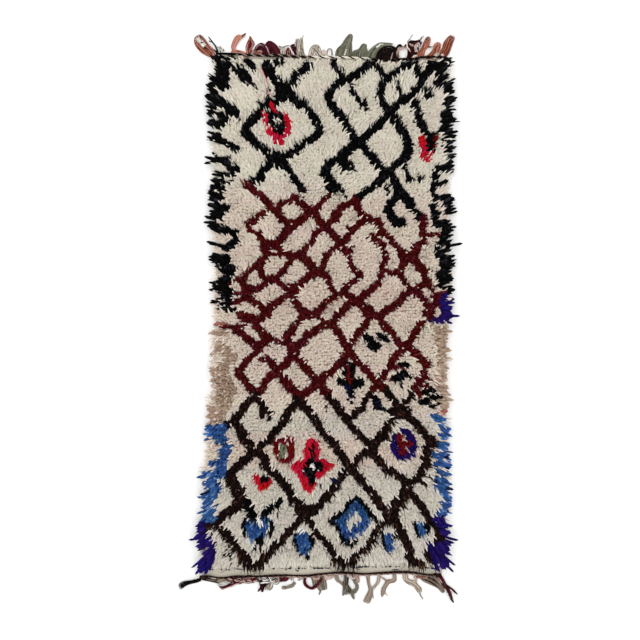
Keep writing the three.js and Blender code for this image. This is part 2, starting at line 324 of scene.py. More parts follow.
burgundyLines = [
    (7, [(-74, 135), (-66, 130), (-57, 122), (-50, 113), (-38, 101)]),
    (6, [(-22, 123), (-35, 118), (-45, 113)]),
    (6, [(9, 125), (4, 120), (0, 116), (-5, 109)]), (7, [(-26, 122), (-9, 109), (-6, 106)]),
    (7, [(35, 119), (23, 113), (12, 104), (16, 101)]), (7, [(35, 120), (41, 108), (50, 100)]),
    (7, [(-50, 115), (-57, 107), (-65, 100), (-72, 97)]), (4, [(-72, 92), (-61, 86)]),
    (7, [(-61, 86), (-57, 77)]),
    (8, [(-42, 107), (-36, 99), (-28, 97)]),
    (8, [(-8, 109), (-14, 104), (-22, 98), (-28, 92), (-35, 88), (-38, 81), (-46, 77), (-57, 76)]),
    (8, [(-56, 76), (-55, 64)]), (7, [(-55, 64), (-59, 59), (-64, 55)]),
    (5, [(-64, 54), (-74, 47), (-82, 40)]),
    (2, [(-83, 42), (-93, 34)]), (6, [(-44, 74), (-38, 67), (-28, 64), (-20, 63)]),
    (3, [(-53, 67), (-40, 65)]),
    (6, [(-58, 57), (-59, 51), (-58, 44), (-52, 40)]), (8, [(-52, 40), (-45, 41)]),
    (6, [(-44, 41), (-39, 47), (-33, 55), (-27, 61)]), (7, [(-74, 46), (-78, 40), (-77, 34), (-70, 31)]),
    (6, [(-71, 31), (-64, 31), (-56, 35), (-51, 39)]), (4, [(-84, 27), (-74, 28), (-64, 29)]),
    (7, [(-77, 27), (-70, 22), (-64, 17), (-58, 13), (-52, 9)]), (5, [(-88, 16), (-80, 19), (-75, 21)]),
    (3, [(-89, 10), (-76, 8)]), (6.5, [(-56, 8), (-49, 15), (-41, 18), (-35, 24), (-27, 29)]),
    (6, [(-44, 40), (-36, 34)]), (11, [(-30, 31), (-26, 28)]),
    (7, [(-6, 107), (0, 99), (6, 94), (13, 86), (22, 77)]),
    (6.5, [(18, 107), (11, 99), (6, 95), (1, 91), (-4, 87), (-6, 82), (-11, 75), (-17, 68), (-22, 65),
           (-30, 63)]),
    (9, [(-20, 64), (-13, 59), (-7, 52)]), (7, [(-6, 49), (4, 46), (8, 41)]), (5, [(8, 41), (11, 36)]),
    (5.5, [(11, 35), (14, 28), (18, 26), (25, 27)]), (8, [(-4, 47), (-12, 43), (-20, 36), (-26, 31)]),
    (7, [(49, 103), (40, 97), (31, 88), (26, 80), (22, 77)]), (5, [(22, 76), (18, 76), (13, 71)]),
    (6, [(13, 71), (7, 64), (4, 55), (0, 49)]), (3, [(27, 95), (30, 91)]), (5, [(19, 70), (31, 69)]),
    (2, [(28, 72), (35, 74)]), (5, [(27, 68), (30, 59), (33, 52)]), (6, [(34, 51), (40, 46)]),
    (5, [(41, 45), (36, 40), (29, 35), (24, 33)]), (8, [(57, 99), (60, 94), (62, 88)]),
    (4, [(50, 84), (56, 85), (63, 87)]), (7.5, [(57, 79), (63, 76)]), (5, [(62, 73), (66, 66), (66.5, 61)]),
    (5, [(67, 62), (63, 57), (61, 54)]), (4, [(61, 54), (66, 50), (72, 46)]),
    (4.5, [(63, 49), (60, 42), (57, 37)]),
    (7, [(58, 37), (52, 31), (45, 25), (39, 20)]), (8, [(25, 30), (28, 24), (34, 20), (40, 16), (47, 13)]),
    (4, [(47, 13), (52, 11)]), (7, [(14, 24), (8, 19), (3, 14), (-1, 9), (-7, 7)]),
    (7, [(-9, 6), (-18, 10), (-24, 16), (-28, 24), (-31, 30)]), (7, [(35, 19), (28, 14), (22, 9), (16, 5)]),
    (6, [(50, 8), (60, 5), (70, 10)]), (6, [(62, 86), (69, 83), (74, 78), (78, 73), (81, 68)]),
    (4, [(82, 70), (86, 68)]), (8, [(103.5, 101), (103.5, 93), (103, 86)]), (2, [(107, 86), (119, 86)]),
    (4, [(104, 86), (112, 84)]), (3, [(106, 81), (99, 77), (93, 75)]), (3, [(106, 76), (97, 74)]),
    (9, [(98, 72), (94, 67), (90, 62)]), (8, [(89, 64), (85, 59), (82, 54), (79, 49)]),
    (8, [(82, 64), (89, 61), (96, 59)]), (6, [(96, 59), (100, 53)]), (9, [(100, 53), (104, 47), (107, 41)]),
    (7, [(107, 40), (110, 35), (113, 31)]), (3, [(106, 50), (112, 50)]),
    (7, [(107, 38), (101, 34), (95, 30), (88, 27), (82, 24)]), (8, [(83, 23), (76, 15), (68, 10), (60, 5)]),
    (6, [(79, 48), (83, 41), (87, 35), (91, 30)]), (5, [(72, 46), (78, 47)]),
    (7, [(96, 29), (102, 23), (106, 17), (111, 12), (111, 5)]), (7, [(114, 23), (121, 25)]),
    (7, [(114, 14), (119, 20)]), (9, [(-79, 4), (-72, 1), (-64, 0)]),
    (8.5, [(-67, 0), (-62, -8), (-56, -14), (-50, -18)]), (5, [(-44, -20), (-37, -24)]),
    (4.5, [(-98, -5), (-86, -6), (-76, -6)]), (3, [(-47, -19), (-41, -20)]),
    (8, [(-51, 9), (-56, 4), (-64, 0)]), (7.5, [(-84, -11), (-77, -15), (-71, -20), (-64, -26)]),
    (8, [(-62, -26), (-57, -23), (-53, -20)]), (6, [(-58, -25), (-61, -30), (-67, -35), (-74, -41)]),
    (7, [(-74, -41), (-78, -47), (-81, -53)]), (9, [(-82, -53), (-76, -60)]),
    (8, [(-76, -59), (-72, -65), (-68, -71), (-64, -73)]), (4, [(-61, -39), (-54, -38)]),
    (7, [(-54, -38), (-49, -44), (-43, -50), (-41, -54), (-38, -59), (-33, -66), (-27, -73)]),
    (8, [(-43, -52), (-50, -56), (-55, -62), (-58, -68), (-63, -73)]),
    (8, [(-16, 10), (-19, 2), (-23.5, -4), (-28, -10), (-33, -17)]), (9, [(-14, 5), (-4, 6)]),
    (5, [(-4, 5), (1, 0), (8, -4), (13, -5)]), (7, [(22.5, 8), (17, 2), (12, -3)]),
    (8.5, [(7, -4), (0, -8), (-6, -12), (-13, -16), (-19, -23), (-25, -29)]),
    (8, [(-34, -17), (-30, -26), (-27, -31), (-24, -37)]), (9, [(-26, -30), (-31, -40), (-36, -47)]),
    (7.5, [(-25, -38), (-19, -43), (-14, -48), (-9, -55), (-5, -59)]),
    (9, [(-4, -60), (0, -64), (5, -71), (9, -77)]),
    (8, [(29, -31), (24, -38), (21, -43), (16.5, -47), (11, -52), (5, -56), (-1, -60)]),
    (7.5, [(12, -4), (16, -10), (21, -17), (24, -23), (28, -29), (33, -36), (38, -42), (44, -48),
           (50, -55)]),
    (7.5, [(50, -55), (56, -61), (61, -66), (66, -71)]), (6, [(57, -63), (50, -73)]),
    (7, [(47, -1), (43, -8), (38, -14), (33, -21), (28, -27)]),
    (9, [(44, 9), (49, 5), (56, 4)]), (7, [(55, 6), (60, 2), (63, -5), (69, -10), (74, -15), (78, -21),
                                           (84, -27)]),
    (8, [(-36, -58), (-31, -65), (-25, -71), (-20, -76)]), (8.5, [(-2, -63), (-8, -68), (-13, -72),
        (-18, -76)]),
    (6, [(106, 8), (110, 2)]), (4, [(106, -2), (99, -3)]), (8, [(99.5, -4), (97, -10), (92, -17),
                                                                (88.5, -23), (83, -28)]),
    (8, [(83, -29), (78.5, -35), (73, -39), (70.5, -46)]), (7, [(70.5, -46), (66, -52), (62, -57),
                                                                (59, -61)]), (4, [(72, -49), (79, -46)]),
    (8, [(88, -27), (92, -30), (97, -34), (101, -39), (107, -43)]),
    (7, [(106, -41), (106, -47), (104, -53), (102, -59), (98, -63)]), (4, [(104, -57), (110, -59)]),
    (3, [(98, -63), (97, -66)]), (7, [(95, -67), (99, -71), (100, -75)]), (3, [(102, -66), (108, -66)]),
    (2, [(107, -41), (112, -41)]), (3, [(66, -57), (72, -59)]),
]
brownLines = [
    (8, [(-64, -74), (-64, -78), (-71, -82), (-76, -88), (-79, -94), (-85, -99)]),
    (5, [(-86, -99), (-95, -104)]),
    (6, [(-64, -78), (-58, -83), (-54, -89)]), (2.5, [(-94, -108), (-88, -106), (-82, -101)]),
    (8, [(-83, -105), (-79, -111)]), (8.5, [(-80, -112), (-76, -120), (-70, -127), (-65, -131)]),
    (3, [(-75, -110), (-74, -115)]), (7, [(-59, -84), (-58, -91), (-58, -95)]),
    (4, [(-56, -89), (-50, -92), (-51, -100)]),
    (8, [(-27, -86), (-32, -92), (-35, -98)]),
    (8, [(-33, -98), (-37, -102), (-41, -108), (-46, -113), (-50, -119), (-56, -125), (-63, -131)]),
    (9, [(-64, -130), (-69, -135), (-74, -139), (-79, -144), (-84, -148), (-89, -153)]),
    (11, [(-90, -155), (-88, -163), (-82, -170)]), (14, [(-82, -170), (-80, -176), (-81, -184)]),
    (9, [(-81, -184), (-84, -187), (-90, -192), (-97, -196)]),
    (8, [(-98, -197), (-104, -203), (-111, -206)]),
    (8, [(-64, -129), (-58, -136), (-55, -142), (-51, -149), (-47, -153), (-43, -157), (-39, -162),
         (-34, -168)]),
    (8, [(-34, -168), (-29, -174)]), (1.5, [(-60, -145), (-57, -152)]), (11, [(-22, -80), (-18, -86)]),
    (8.5, [(-21, -85), (-13, -90), (-6, -98), (-2, -106)]),
    (7.5, [(-2, -106), (4, -114), (11, -121), (17, -130), (22, -137), (27, -144), (32, -149), (38, -157),
           (44.5, -165)]),
    (8, [(44.5, -165), (51, -172)]), (8.5, [(51, -172), (55.5, -179), (60.5, -186), (66, -193)]),
    (2, [(6, -86), (6, -91)]),
    (7, [(9, -77), (14, -82), (18, -88), (21, -93), (26, -99), (30, -106), (35, -111), (41, -117),
         (47, -122)]),
    (7, [(47, -122), (53, -126)]), (9, [(53, -126), (54, -135)]),
    (8, [(54, -135), (60, -142), (66, -149), (74, -153), (80, -157), (85, -162), (87, -168)]),
    (11, [(87, -168), (87, -175)]),
    (8, [(91, -174), (97, -181), (102, -186), (107, -195)]),
    (6, [(49, -74), (45, -80), (43, -87), (37, -92)]),
    (7, [(43, -88), (37, -92), (32, -97), (29, -101)]), (7, [(66, -70), (72, -79), (77, -84), (79, -92)]),
    (13, [(75, -92), (85, -92)]), (5, [(92, -71), (91, -78), (86, -81), (82, -85)]),
    (8, [(76, -95), (71, -103), (66, -109), (64, -114), (58, -119), (54, -124)]),
    (4, [(67, -117), (61, -121)]),
    (8, [(85, -92), (91, -99), (97, -105), (102, -111), (107, -116), (112, -121)]),
    (7, [(112, -121), (108, -128)]),
    (9, [(108, -126), (107, -137), (106, -145)]), (3, [(106, -144), (113, -146)]),
    (3, [(109, -129), (115, -126)]),
    (7, [(104, -146), (99, -151), (102, -157), (95, -160), (88, -164)]), (2, [(104, -156), (114, -158)]),
    (4, [(100, -162), (106, -165)]),
    (7.5, [(51, -127), (45, -133), (38, -139), (34, -145), (29, -150), (23, -154), (20, -159), (16, -166),
           (12, -171)]),
    (8, [(12, -171), (7, -177), (2, -182), (-5, -188)]), (9, [(-36, -163), (-32, -169), (-29, -175),
                                                              (-27.5, -182)]),
    (9, [(-25, -181), (-19, -187)]), (13, [(-20, -188), (-15, -195)]), (11, [(-20, -192), (-7, -191)]),
    (7, [(-13, -197), (-11, -201), (-7, -208), (-2, -215), (5, -221), (10, -228), (13, -235), (17, -241),
         (23, -247)]),
    (7.5, [(-19, -197), (-22, -203), (-27, -209), (-32, -213), (-36, -219), (-41, -224), (-46, -227),
           (-50, -232)]),
    (7, [(-50, -232), (-55, -237), (-60, -241), (-63, -247), (-64, -253)]),
    (9, [(-100, -208), (-95, -213), (-91, -218), (-87, -223), (-84, -229)]),
    (9, [(-84, -229), (-79, -234), (-74, -239), (-69, -244)]), (4, [(-96, -233), (-88, -238)]),
    (7, [(-70, -244), (-68, -250), (-66, -255)]),
    (12, [(88, -170), (83, -177), (78, -184), (71, -192), (67, -199)]),
    (8, [(63, -203), (57, -209), (53.5, -216), (50, -223), (46, -228), (41, -232), (36, -236), (30, -243),
         (26, -247)]),
    (9, [(20, -244), (28, -244)]),
    (9, [(72, -194), (74.5, -199), (79, -208), (82.5, -215), (86.5, -223), (90, -231), (90, -237)]),
    (8, [(90, -237), (92, -243), (96, -249), (99, -253)]),
    (7, [(107, -195), (111, -203), (116, -209), (119, -215), (117, -221), (118, -226), (111, -228),
         (108, -233)]),
    (3, [(104, -232), (110, -240), (117, -242)]), (3, [(108, -234), (116, -241)]),
    (4, [(97, -241), (103, -246)]),
]
blackTufts = [
    (8, [(-98, 264), (-97.5, 257)]), (9, [(-97, 256), (-96, 249), (-95, 243), (-94.5, 236)]),
    (5, [(-94, 259), (-91, 254)]),
    (11, [(-113, 236), (-97, 235)]), (8, [(-110, 230), (-106, 225), (-105, 220)]),
    (9, [(-103, 219), (-95, 215), (-88, 210.5), (-84, 207)]), (5, [(-115, 215), (-104, 213)]),
    (5, [(-113, 206), (-100, 204), (-92, 205)]), (3.5, [(-98, 203), (-91, 199)]),
    (3, [(-84, 205), (-80, 200)]),
    (7, [(-112, 196), (-99, 196)]),
    (8, [(-113, 186), (-100, 182)]), (8, [(-101, 182), (-92, 176), (-84, 171)]),
    (7, [(-107, 160), (-93, 160)]),
    (8, [(-90, 153), (-84, 151)]), (6, [(-99, 146), (-87, 146)]), (4, [(-101, 139), (-89, 138)]),
    (7, [(-113, 131), (-98, 132)]), (8, [(-113, 123), (-101, 123)]), (9, [(-112, 112), (-95, 112)]),
    (7, [(-108, 103), (-101, 104)]), (8, [(-113, 97), (-102, 92), (-92, 89), (-85, 88)]),
    (8, [(-84, 80), (-94, 72)]),
    (2.5, [(-107, 75), (-96, 75)]), (10, [(-108, 61), (-94, 61)]), (8, [(-96, 56), (-88, 51)]),
    (6, [(-96, 49), (-88, 46)]),
    (8, [(-93, 40), (-100, 35), (-112, 31)]), (7, [(-99, 33), (-90, 30)]), (8, [(-93, 29), (-90, 25)]),
    (9, [(-94, 24), (-93, 14)]), (2, [(-108, 17), (-97, 17)]),
    (4, [(-97, 11), (-85, 10)]), (8, [(110, 255), (122, 254)]), (7, [(118.5, 248), (119.5, 236)]),
    (7, [(117, 235), (133, 234)]), (11, [(130, 228), (133, 214)]), (9, [(126, 206), (140, 205)]),
    (9, [(127, 199), (138, 198)]), (9, [(124, 190), (136, 189)]), (7, [(126, 179), (134, 178)]),
    (5, [(128, 171), (134, 170)]), (5, [(128, 163), (134, 161)]), (4, [(128, 156), (133, 156)]),
    (8, [(119, 151), (135, 151)]), (6, [(115, 146), (113.5, 124)]), (4, [(114, 136), (122, 136)]),
    (8, [(115, 122), (131, 121)]), (8, [(126, 115), (131, 108)]), (8, [(114, 113), (116, 102)]),
    (6, [(115, 96), (129, 96)]), (3, [(124, 91), (130, 92)]), (7, [(122, 84), (132, 87)]),
    (4, [(121, 80), (134, 79)]),
    (3, [(117, 76), (134, 75)]), (5, [(118, 70), (125, 69)]), (6, [(118, 65), (123, 63), (126, 58)]),
    (3, [(123, 64), (131, 61)]), (7, [(123, 57), (134, 53)]), (5, [(128, 53), (132, 49)]),
    (6, [(119, 47), (126, 47), (133, 49)]), (7, [(121, 43), (127, 41), (132, 42)]),
    (3, [(118, 36), (126, 38)]),
    (4, [(124, 32), (131, 33)]), (4, [(128, 28), (135, 29)]),
]
taupeTufts = [
    (5, [(-112, -13), (-94, -13)]), (8, [(-110, -28), (-96, -27)]), (9, [(-94, -31), (-88, -37)]),
    (8, [(-88, -40), (-96, -45)]),
    (10, [(-108, -52), (-96, -51)]), (10, [(-103, -59), (-92, -62)]), (11, [(-98, -68), (-88, -71)]),
    (11, [(-100, -79), (-93, -82)]), (9, [(-114, -90), (-98, -91)]), (9, [(-110, -97), (-100, -98)]),
    (7, [(-116, -101), (-104, -101)]), (8, [(118, -9), (126, -9)]), (8, [(119, -17), (127, -18)]),
    (9, [(120, -25), (127, -26)]),
    (9, [(121, -34), (127, -35)]), (7, [(123, -43), (127, -43)]), (7, [(122, -50), (128, -48)]),
    (9, [(120, -57), (127, -58)]), (9, [(120, -67), (126, -70)]), (9, [(122, -79), (126, -86)]),
]
russetTufts = [
    (2.5, [(-104, -4), (-92, -4)]), (4, [(120, -92), (128, -93)]),
]
blueTufts = [
    (9, [(-112, -108), (-98, -109)]), (7, [(-112, -116), (-100, -117)]),
    (11, [(-98, -120), (-94, -127), (-97, -137)]),
    (6, [(-108, -143), (-98, -141)]), (12, [(-100, -146), (-100, -152)]), (6, [(-113, -154), (-98, -156)]),
    (11, [(-108, -163), (-104, -168), (-110, -175)]), (10, [(-110, -177), (-116, -185)]),
    (11, [(-117, -183), (-111, -191), (-109, -197)]), (7, [(115, -96), (121, -101)]),
    (6, [(124, -108), (127, -111)]),
    (7, [(124, -116), (134, -117)]), (8, [(121, -125), (129, -126)]),
    (8, [(116, -134), (127, -135)]), (7, [(116, -143), (125, -144)]), (5, [(118, -150), (124, -153)]),
    (7, [(118, -160), (125, -162)]), (6, [(116, -166), (126, -169)]), (8, [(124, -173), (130, -177)]),
    (7, [(124, -184), (129, -184)]),
    (7, [(120, -193), (124, -193)]),
]
violetTufts = [
    (9, [(-117, -203), (-118, -213), (-113, -220), (-108, -229), (-110, -237), (-115, -243), (-119, -248)]),
    (10, [(124, 22), (137, 22)]), (9, [(124, 14), (138, 13)]), (8, [(126, 6), (139, 8)]),
    (4, [(113, -1), (124, 0), (132, -1)]),
    (8, [(116, -199), (121, -203), (124, -210), (130, -219)]), (7, [(123, -222), (128, -228)]),
    (7, [(109, -224), (113, -232), (115, -241)]), (9, [(118, -228), (120, -238)]),
    (11, [(120, -238), (123, -243), (123, -251)]),
]
# Small motifs inside the lozenges, each as (dye, width, points)
motifs = [
    ("black", 15, [(-45, 203), (-40, 191)]), ("black", 5, [(-52, 207), (-48, 200)]),
    ("red", 4.5, [(-56, 204), (-53, 197)]), ("red", 4.5, [(-49, 215), (-46, 209)]),
    ("red", 5.5, [(-51, 188), (-46, 183), (-39, 178)]), ("red", 6, [(-35, 204), (-32, 197), (-32, 190)]),
    ("red", 6, [(-33, 188), (-38, 183)]), ("cream", 5.5, [(-43, 200), (-41.5, 199)]),
    ("black", 4.5, [(104, 187), (115, 186)]), ("red", 8, [(103, 181), (104, 176), (106, 171)]),
    ("wine", 8, [(114, 181), (112, 175)]), ("black", 6.5, [(110.5, 184), (111, 169)]),
    ("red", 5, [(102, 166), (111, 165)]), ("red", 4, [(105, 162), (109, 160)]),
    ("pink", 1.5, [(106, 163.5), (111, 163.5)]),
    ("black", 7, [(46, -17), (51, -21)]), ("black", 7, [(60, -17), (64, -18)]),
    ("black", 2.5, [(64, -21), (69, -21)]),
    ("black", 8, [(51, -25), (57, -26)]), ("black", 6, [(53, -29), (57, -29)]),
    ("black", 12, [(29, -48), (30, -60)]), ("black", 9, [(21, -61), (40, -63)]),
    ("black", 5, [(33, -67), (38, -66)]),
    ("wine", 3, [(28, -48), (29, -58), (31, -64)]), ("navy", 6, [(27, -67), (30, -74)]),
    ("black", 4, [(31, -72), (33, -76)]), ("black", 2.5, [(27, -79), (32, -83)]),
    ("black", 6, [(82, -45), (87, -45)]), ("burgundy", 4, [(83, -49), (84, -51)]),
    ("black", 9, [(77, -59), (83, -55)]),
    ("black", 3, [(86, -54), (91, -57)]), ("black", 3, [(79, -62), (81, -66)]),
    ("black", 8, [(55, -79), (58, -86)]), ("black", 3, [(58, -87), (66, -90)]),
    ("navy", 3, [(57, -82), (58, -84)]),
    ("black", 5, [(105, -72), (113, -70)]), ("black", 5, [(107, -77), (115, -76)]),
    ("black", 6, [(101, -82), (108, -82)]),
    ("black", 1.5, [(110, -80), (115, -79), (117, -83), (114, -87), (109, -87)]),
    ("wine", 6, [(-44, -132), (-44, -123), (-37, -121), (-28, -122)]),
    ("wine", 6.5, [(-29, -128), (-29, -135)]),
    ("wine", 5, [(-43, -138), (-36, -141), (-30, -139)]), ("sage", 6, [(-37, -127), (-38, -136)]),
    ("red", 6, [(-64, -156), (-63, -162), (-59, -167), (-54, -166), (-50.5, -161)]),
    ("black", 6, [(-58, -159), (-53, -159)]),
    ("red", 7, [(-11, -138), (-13, -130), (-10, -123), (-5, -123), (-3, -130), (-5, -138)]),
    ("red", 9, [(-16, -144), (-24, -146)]), ("red", 9, [(0, -143), (8, -146)]),
    ("red", 7, [(-19, -152), (-16, -160), (-13, -168)]),
    ("red", 6, [(-13, -168), (-8, -167), (-7, -160)]), ("red", 7, [(3, -150), (-1, -155)]),
    ("black", 5, [(-8, -126), (-8, -138)]), ("wine", 2, [(-8, -127), (-8, -133)]),
    ("black", 12, [(-12, -149), (-3, -147)]),
    ("black", 8, [(-8, -141), (-9, -160)]), ("white", 4.5, [(-7, -145), (-7, -148)]),
    ("black", 1.5, [(-4, -160), (2, -168)]), ("navy", 4, [(13, -160), (15, -161)]),
    ("violet", 8, [(90, -117), (94, -125), (91, -133), (84, -137), (77, -134), (73, -126), (76, -118)]),
    ("violet", 5, [(82, -111), (89, -113)]), ("wine", 8, [(81, -117), (83, -132)]),
    ("wine", 5, [(86, -126), (90, -123)]), ("pink", 2.5, [(83, -117), (84, -119)]),
    ("white", 2, [(82, -122), (82.5, -123.5)]),
    ("black", 8, [(-73, -183), (-70, -191), (-66, -199)]), ("black", 7, [(-40, -181), (-46, -185),
        (-52, -191), (-58, -197)]),
    ("black", 1.5, [(-41, -185), (-42, -195)]), ("black", 3, [(-75, -201), (-78, -206), (-75, -215)]),
    ("black", 5, [(-51, -200), (-47, -207), (-50, -213)]), ("black", 8, [(-66, -201), (-56, -200)]),
    ("blue", 10, [(-70, -205), (-68, -211), (-65, -217)]), ("blue", 9, [(-55, -204), (-58, -211),
        (-64, -217)]),
    ("blue", 8, [(-63, -208), (-62, -214)]), ("white", 4, [(-62, -201), (-60, -203)]),
    ("black", 3, [(-58, -215), (-67, -229)]), ("black", 3, [(-57, -216), (-60, -229)]),
    ("blue", 9, [(21, -200), (28, -191), (34, -187)]), ("blue", 9, [(34, -184), (41, -190), (46, -197)]),
    ("blue", 9, [(46, -201), (39, -208), (31, -215)]), ("blue", 9, [(19, -199), (24, -208), (28, -216)]),
    ("black", 4.5, [(36, -178), (30, -183), (25, -189), (19, -195), (10, -201)]),
    ("black", 4.5, [(10, -200), (16, -204), (21, -213), (25, -222), (31, -225)]),
    ("black", 4, [(31, -225), (36, -221)]),
    ("black", 4, [(38, -179), (45, -186), (52, -196)]), ("black", 5, [(50, -197), (56, -199)]),
    ("cream", 5, [(32, -201), (37, -196)]), ("cream", 4, [(30, -204), (31, -207)]),
    ("white", 2, [(35, -191), (36, -193)]),
    ("black", 4, [(-24, -215), (-25, -223), (-21, -229)]), ("black", 5, [(-9, -216), (-8, -222),
        (-11, -230)]),
    ("black", 4, [(-22, -232), (-18, -233)]), ("black", 3, [(-13, -234), (-12, -239)]),
    ("blue", 11, [(-17, -217), (-16, -228)]),
    ("white", 4, [(-20, -211), (-15, -209)]), ("black", 4, [(63, -214), (64, -223), (69, -232)]),
    ("black", 4, [(74, -215), (76, -217)]),
    ("blue", 7, [(67, -215), (70, -222), (69, -229)]), ("black", 3, [(95, -203), (96, -210), (99, -216)]),
    ("black", 3, [(106, -204), (107, -208)]), ("blue", 9, [(101, -206), (103, -211)]),
    ("black", 4, [(107, -205), (108, -211)]),
]
chartLayers = [
    ("black", blackLines), ("burgundy", burgundyLines), ("brown", brownLines), ("black", blackTufts),
    ("taupe", taupeTufts), ("russet", russetTufts), ("blue", blueTufts), ("violet", violetTufts),
]
# Hand-spun wool in each dye: root and tip colour, and how far single strands differ in brightness
dyes = {
    # undyed ewe's wool, combed and spun by hand: soft and matt
    # In the cream lots the root colour is lighter than the tip: painted light that evens out the shade deep
    # in the pile.
    "cream": ("#e7e0d2", "#d8d1c3", 0.08, 0.018),
    "creamWarm": ("#e6d9ca", "#d7cabd", 0.08, 0.018),  # the other lots of the same fleece, spun later
    "creamRosy": ("#dfccbe", "#d0beb0", 0.08, 0.018),  # a lot with a trace of red earth: faintly pink
    "creamGrey": ("#dfd8cd", "#d0c9be", 0.08, 0.018),  # a duller lot of the fleece
    "black": ("#030303", "#050506", 0.3),  # black sheep's wool over-dyed: nearly no light comes back
    "charcoal": ("#1c1c20", "#222228", 0.3),  # black strands that took less dye
    "burgundy": ("#430609", "#4e080c", 0.25),  # madder over iron
    "madder": ("#561c1f", "#622327", 0.3),  # the same bath, taken up less: a paler red among the burgundy
    "oxblood": ("#2a0407", "#300609", 0.35),  # and taken up more: nearly black in shade
    "brown": ("#180b09", "#1c0e0b", 0.3),  # undyed dark brown fleece
    "umber": ("#3a221c", "#422820", 0.3),  # the same fleece, bleached at the tips by the sun
    "taupe": ("#b09884", "#a48d7b", 0.14),  # grey-brown fleece
    "russet": ("#a4685a", "#9c665a", 0.15),  # weak madder on grey-brown wool: a dusty red
    "blue": ("#34578f", "#2a4e86", 0.35),  # indigo
    "paleBlue": ("#5c7fae", "#5678a8", 0.3),  # one dip in the vat
    "navy": ("#0c1232", "#0e163a", 0.2),  # many dips: blue only where the light falls
    "violet": ("#21105e", "#1c0e54", 0.4),  # aniline violet, deep and a little uneven
    "red": ("#c41632", "#bc1430", 0.12),  # cochineal
    "wine": ("#640c14", "#6a0e16", 0.2),  # cochineal over a dark ground
    "sage": ("#727762", "#797e69", 0.32),  # plant yellow over pale indigo: a greyed green
    "white": ("#f6f3ee", "#f0ece6", 0.03),  # bleached cotton: the brightest spots
    "pink": ("#cdaea6", "#c8a8a0", 0.15),  # the last of the madder bath
    "salmon": ("#b0654a", "#b67254", 0.36),  # madder, faded at the open ends
    "rustAndSalmonShade": ("#743c2e", "#7e4638", 0.36),  # madder darker than the salmon: in the salmon tufts these strands are painted shade between the strands
    "salmonDeepShade": ("#5c2018", "#64261c", 0.2),  # darker still: painted shade at the heart of the salmon tufts
    "maroon": ("#3c0a18", "#460e1e", 0.4),  # tightly spun dark red yarn with bright plies
    "beige": ("#94867a", "#8c7e70", 0.28),  # undyed warp ends, dirty from the floor
    "grey": ("#86837a", "#7d7a70", 0.35),  # mixed black and white fleece: a cool grey
    "olive": ("#706a58", "#686252", 0.36),  # grey wool, yellowed
}
dyeNames = list(dyes)
# A dye bath takes unevenly: these shares of the strands of a dye came out in a neighbouring shade
unevenDye = [
    ("black", "charcoal", 0.12), ("burgundy", "madder", 0.16), ("burgundy", "oxblood", 0.1),
    ("brown", "umber", 0.12),
    ("brown", "black", 0.12), ("taupe", "creamRosy", 0.1), ("blue", "paleBlue", 0.15),
    ("blue", "navy", 0.06),
]
# Undyed wool changes with the lot of fleece: the lots from the lower end up, each with the chart height
# it ends at. The heights were set by comparing the cream of the render and of the photograph, row by row.
fleeceLots = [("creamGrey", -142), ("creamRosy", -114), ("creamGrey", -92), ("creamWarm", 5),
              ("creamRosy", 32),
              ("creamWarm", 125), ("cream", 400)]


def distanceToLine(places, line):
    nearest = np.full(len(places), np.inf)
    points = np.array(line, float)
    for start, stop in zip(points[:-1], points[1:]):
        way = stop - start
        share = np.clip((places - start) @ way / (way @ way), 0, 1)
        nearest = np.minimum(nearest, np.linalg.norm(places - start - share[:, None] * way, axis=1))
    return nearest


# Which dye shows at each place, given in chart squares
def dyeAt(places, swell=0.15):
    dye = np.zeros(len(places), int)
    lines = [(name, width, points) for name, layer in chartLayers for width, points in layer] + motifs
    for name, width, points in lines:
        low, high = np.min(points, 0) - width, np.max(points, 0) + width
        near = np.flatnonzero(np.all((places > low) & (places < high), axis=1))
        dye[near[distanceToLine(places[near], points) < width / 2 + swell]] = dyeNames.index(name)
    return dye


print("strands")


# No strand goes past these heights: its rings are cut off flat there. The lower one is just over the floor,
# the upper one is as high as the visual model may stand over the solid.
strandLimits = {"floor": 0.3 * mm, "top": 41.5 * mm}


# Closed tapered tubes along many paths at once: rings of the given radii and a pointed tip.
# Each face corner also gets its place in the strand's cell of the bake map.
def sweepStrands(paths, tips, radii, acrossWay, sides):
    count, rings, _ = paths.shape
    ways = np.diff(np.concatenate([paths, tips[:, None]], 1), axis=1)
    ways[:, 1:] += ways[:, :-1].copy()
    ways /= np.maximum(np.linalg.norm(ways, axis=2, keepdims=True), 1e-9)
    first = np.cross(acrossWay[:, None], ways)
    first /= np.maximum(np.linalg.norm(first, axis=2, keepdims=True), 1e-9)
    second = np.cross(ways, first)
    angle = np.arange(sides) * 2 * np.pi / sides
    out = np.cos(angle)[:, None] * first[:, :, None] + np.sin(angle)[:, None] * second[:, :, None]
    rim = paths[:, :, None] + radii[:, :, None, None] * out
    rim[..., 2] = np.clip(rim[..., 2], strandLimits["floor"], strandLimits["top"])
    points = np.concatenate([rim.reshape(count, -1, 3), tips[:, None]], 1)
    faces, cell = [], []
    for ring in range(rings - 1):
        for side in range(sides):
            a, b = ring * sides + side, ring * sides + (side + 1) % sides
            faces.append((a, b, b + sides, a + sides))
            low, high = 0.08 + 0.92 * ring / rings, 0.08 + 0.92 * (ring + 1) / rings
            cell.append([(side / sides, low), ((side + 1) / sides, low), ((side + 1) / sides, high),
                         (side / sides, high)])
    last = (rings - 1) * sides
    for side in range(sides):
        faces.append((last + side, last + (side + 1) % sides, rings * sides))
        low = 0.08 + 0.92 * (rings - 1) / rings
        cell.append([(side / sides, low), ((side + 1) / sides, low), ((side + 0.5) / sides, 1.0)])
    faces.append(tuple(reversed(range(sides))))
    cell.append([(0.5 + 0.5 * math.cos(a), 0.03 + 0.03 * math.sin(a)) for a in angle[::-1]])
    return points, faces, cell


pileNormalLift = 0.5  # turns the normals up: light goes round and through fine fibres, so a pile looks even


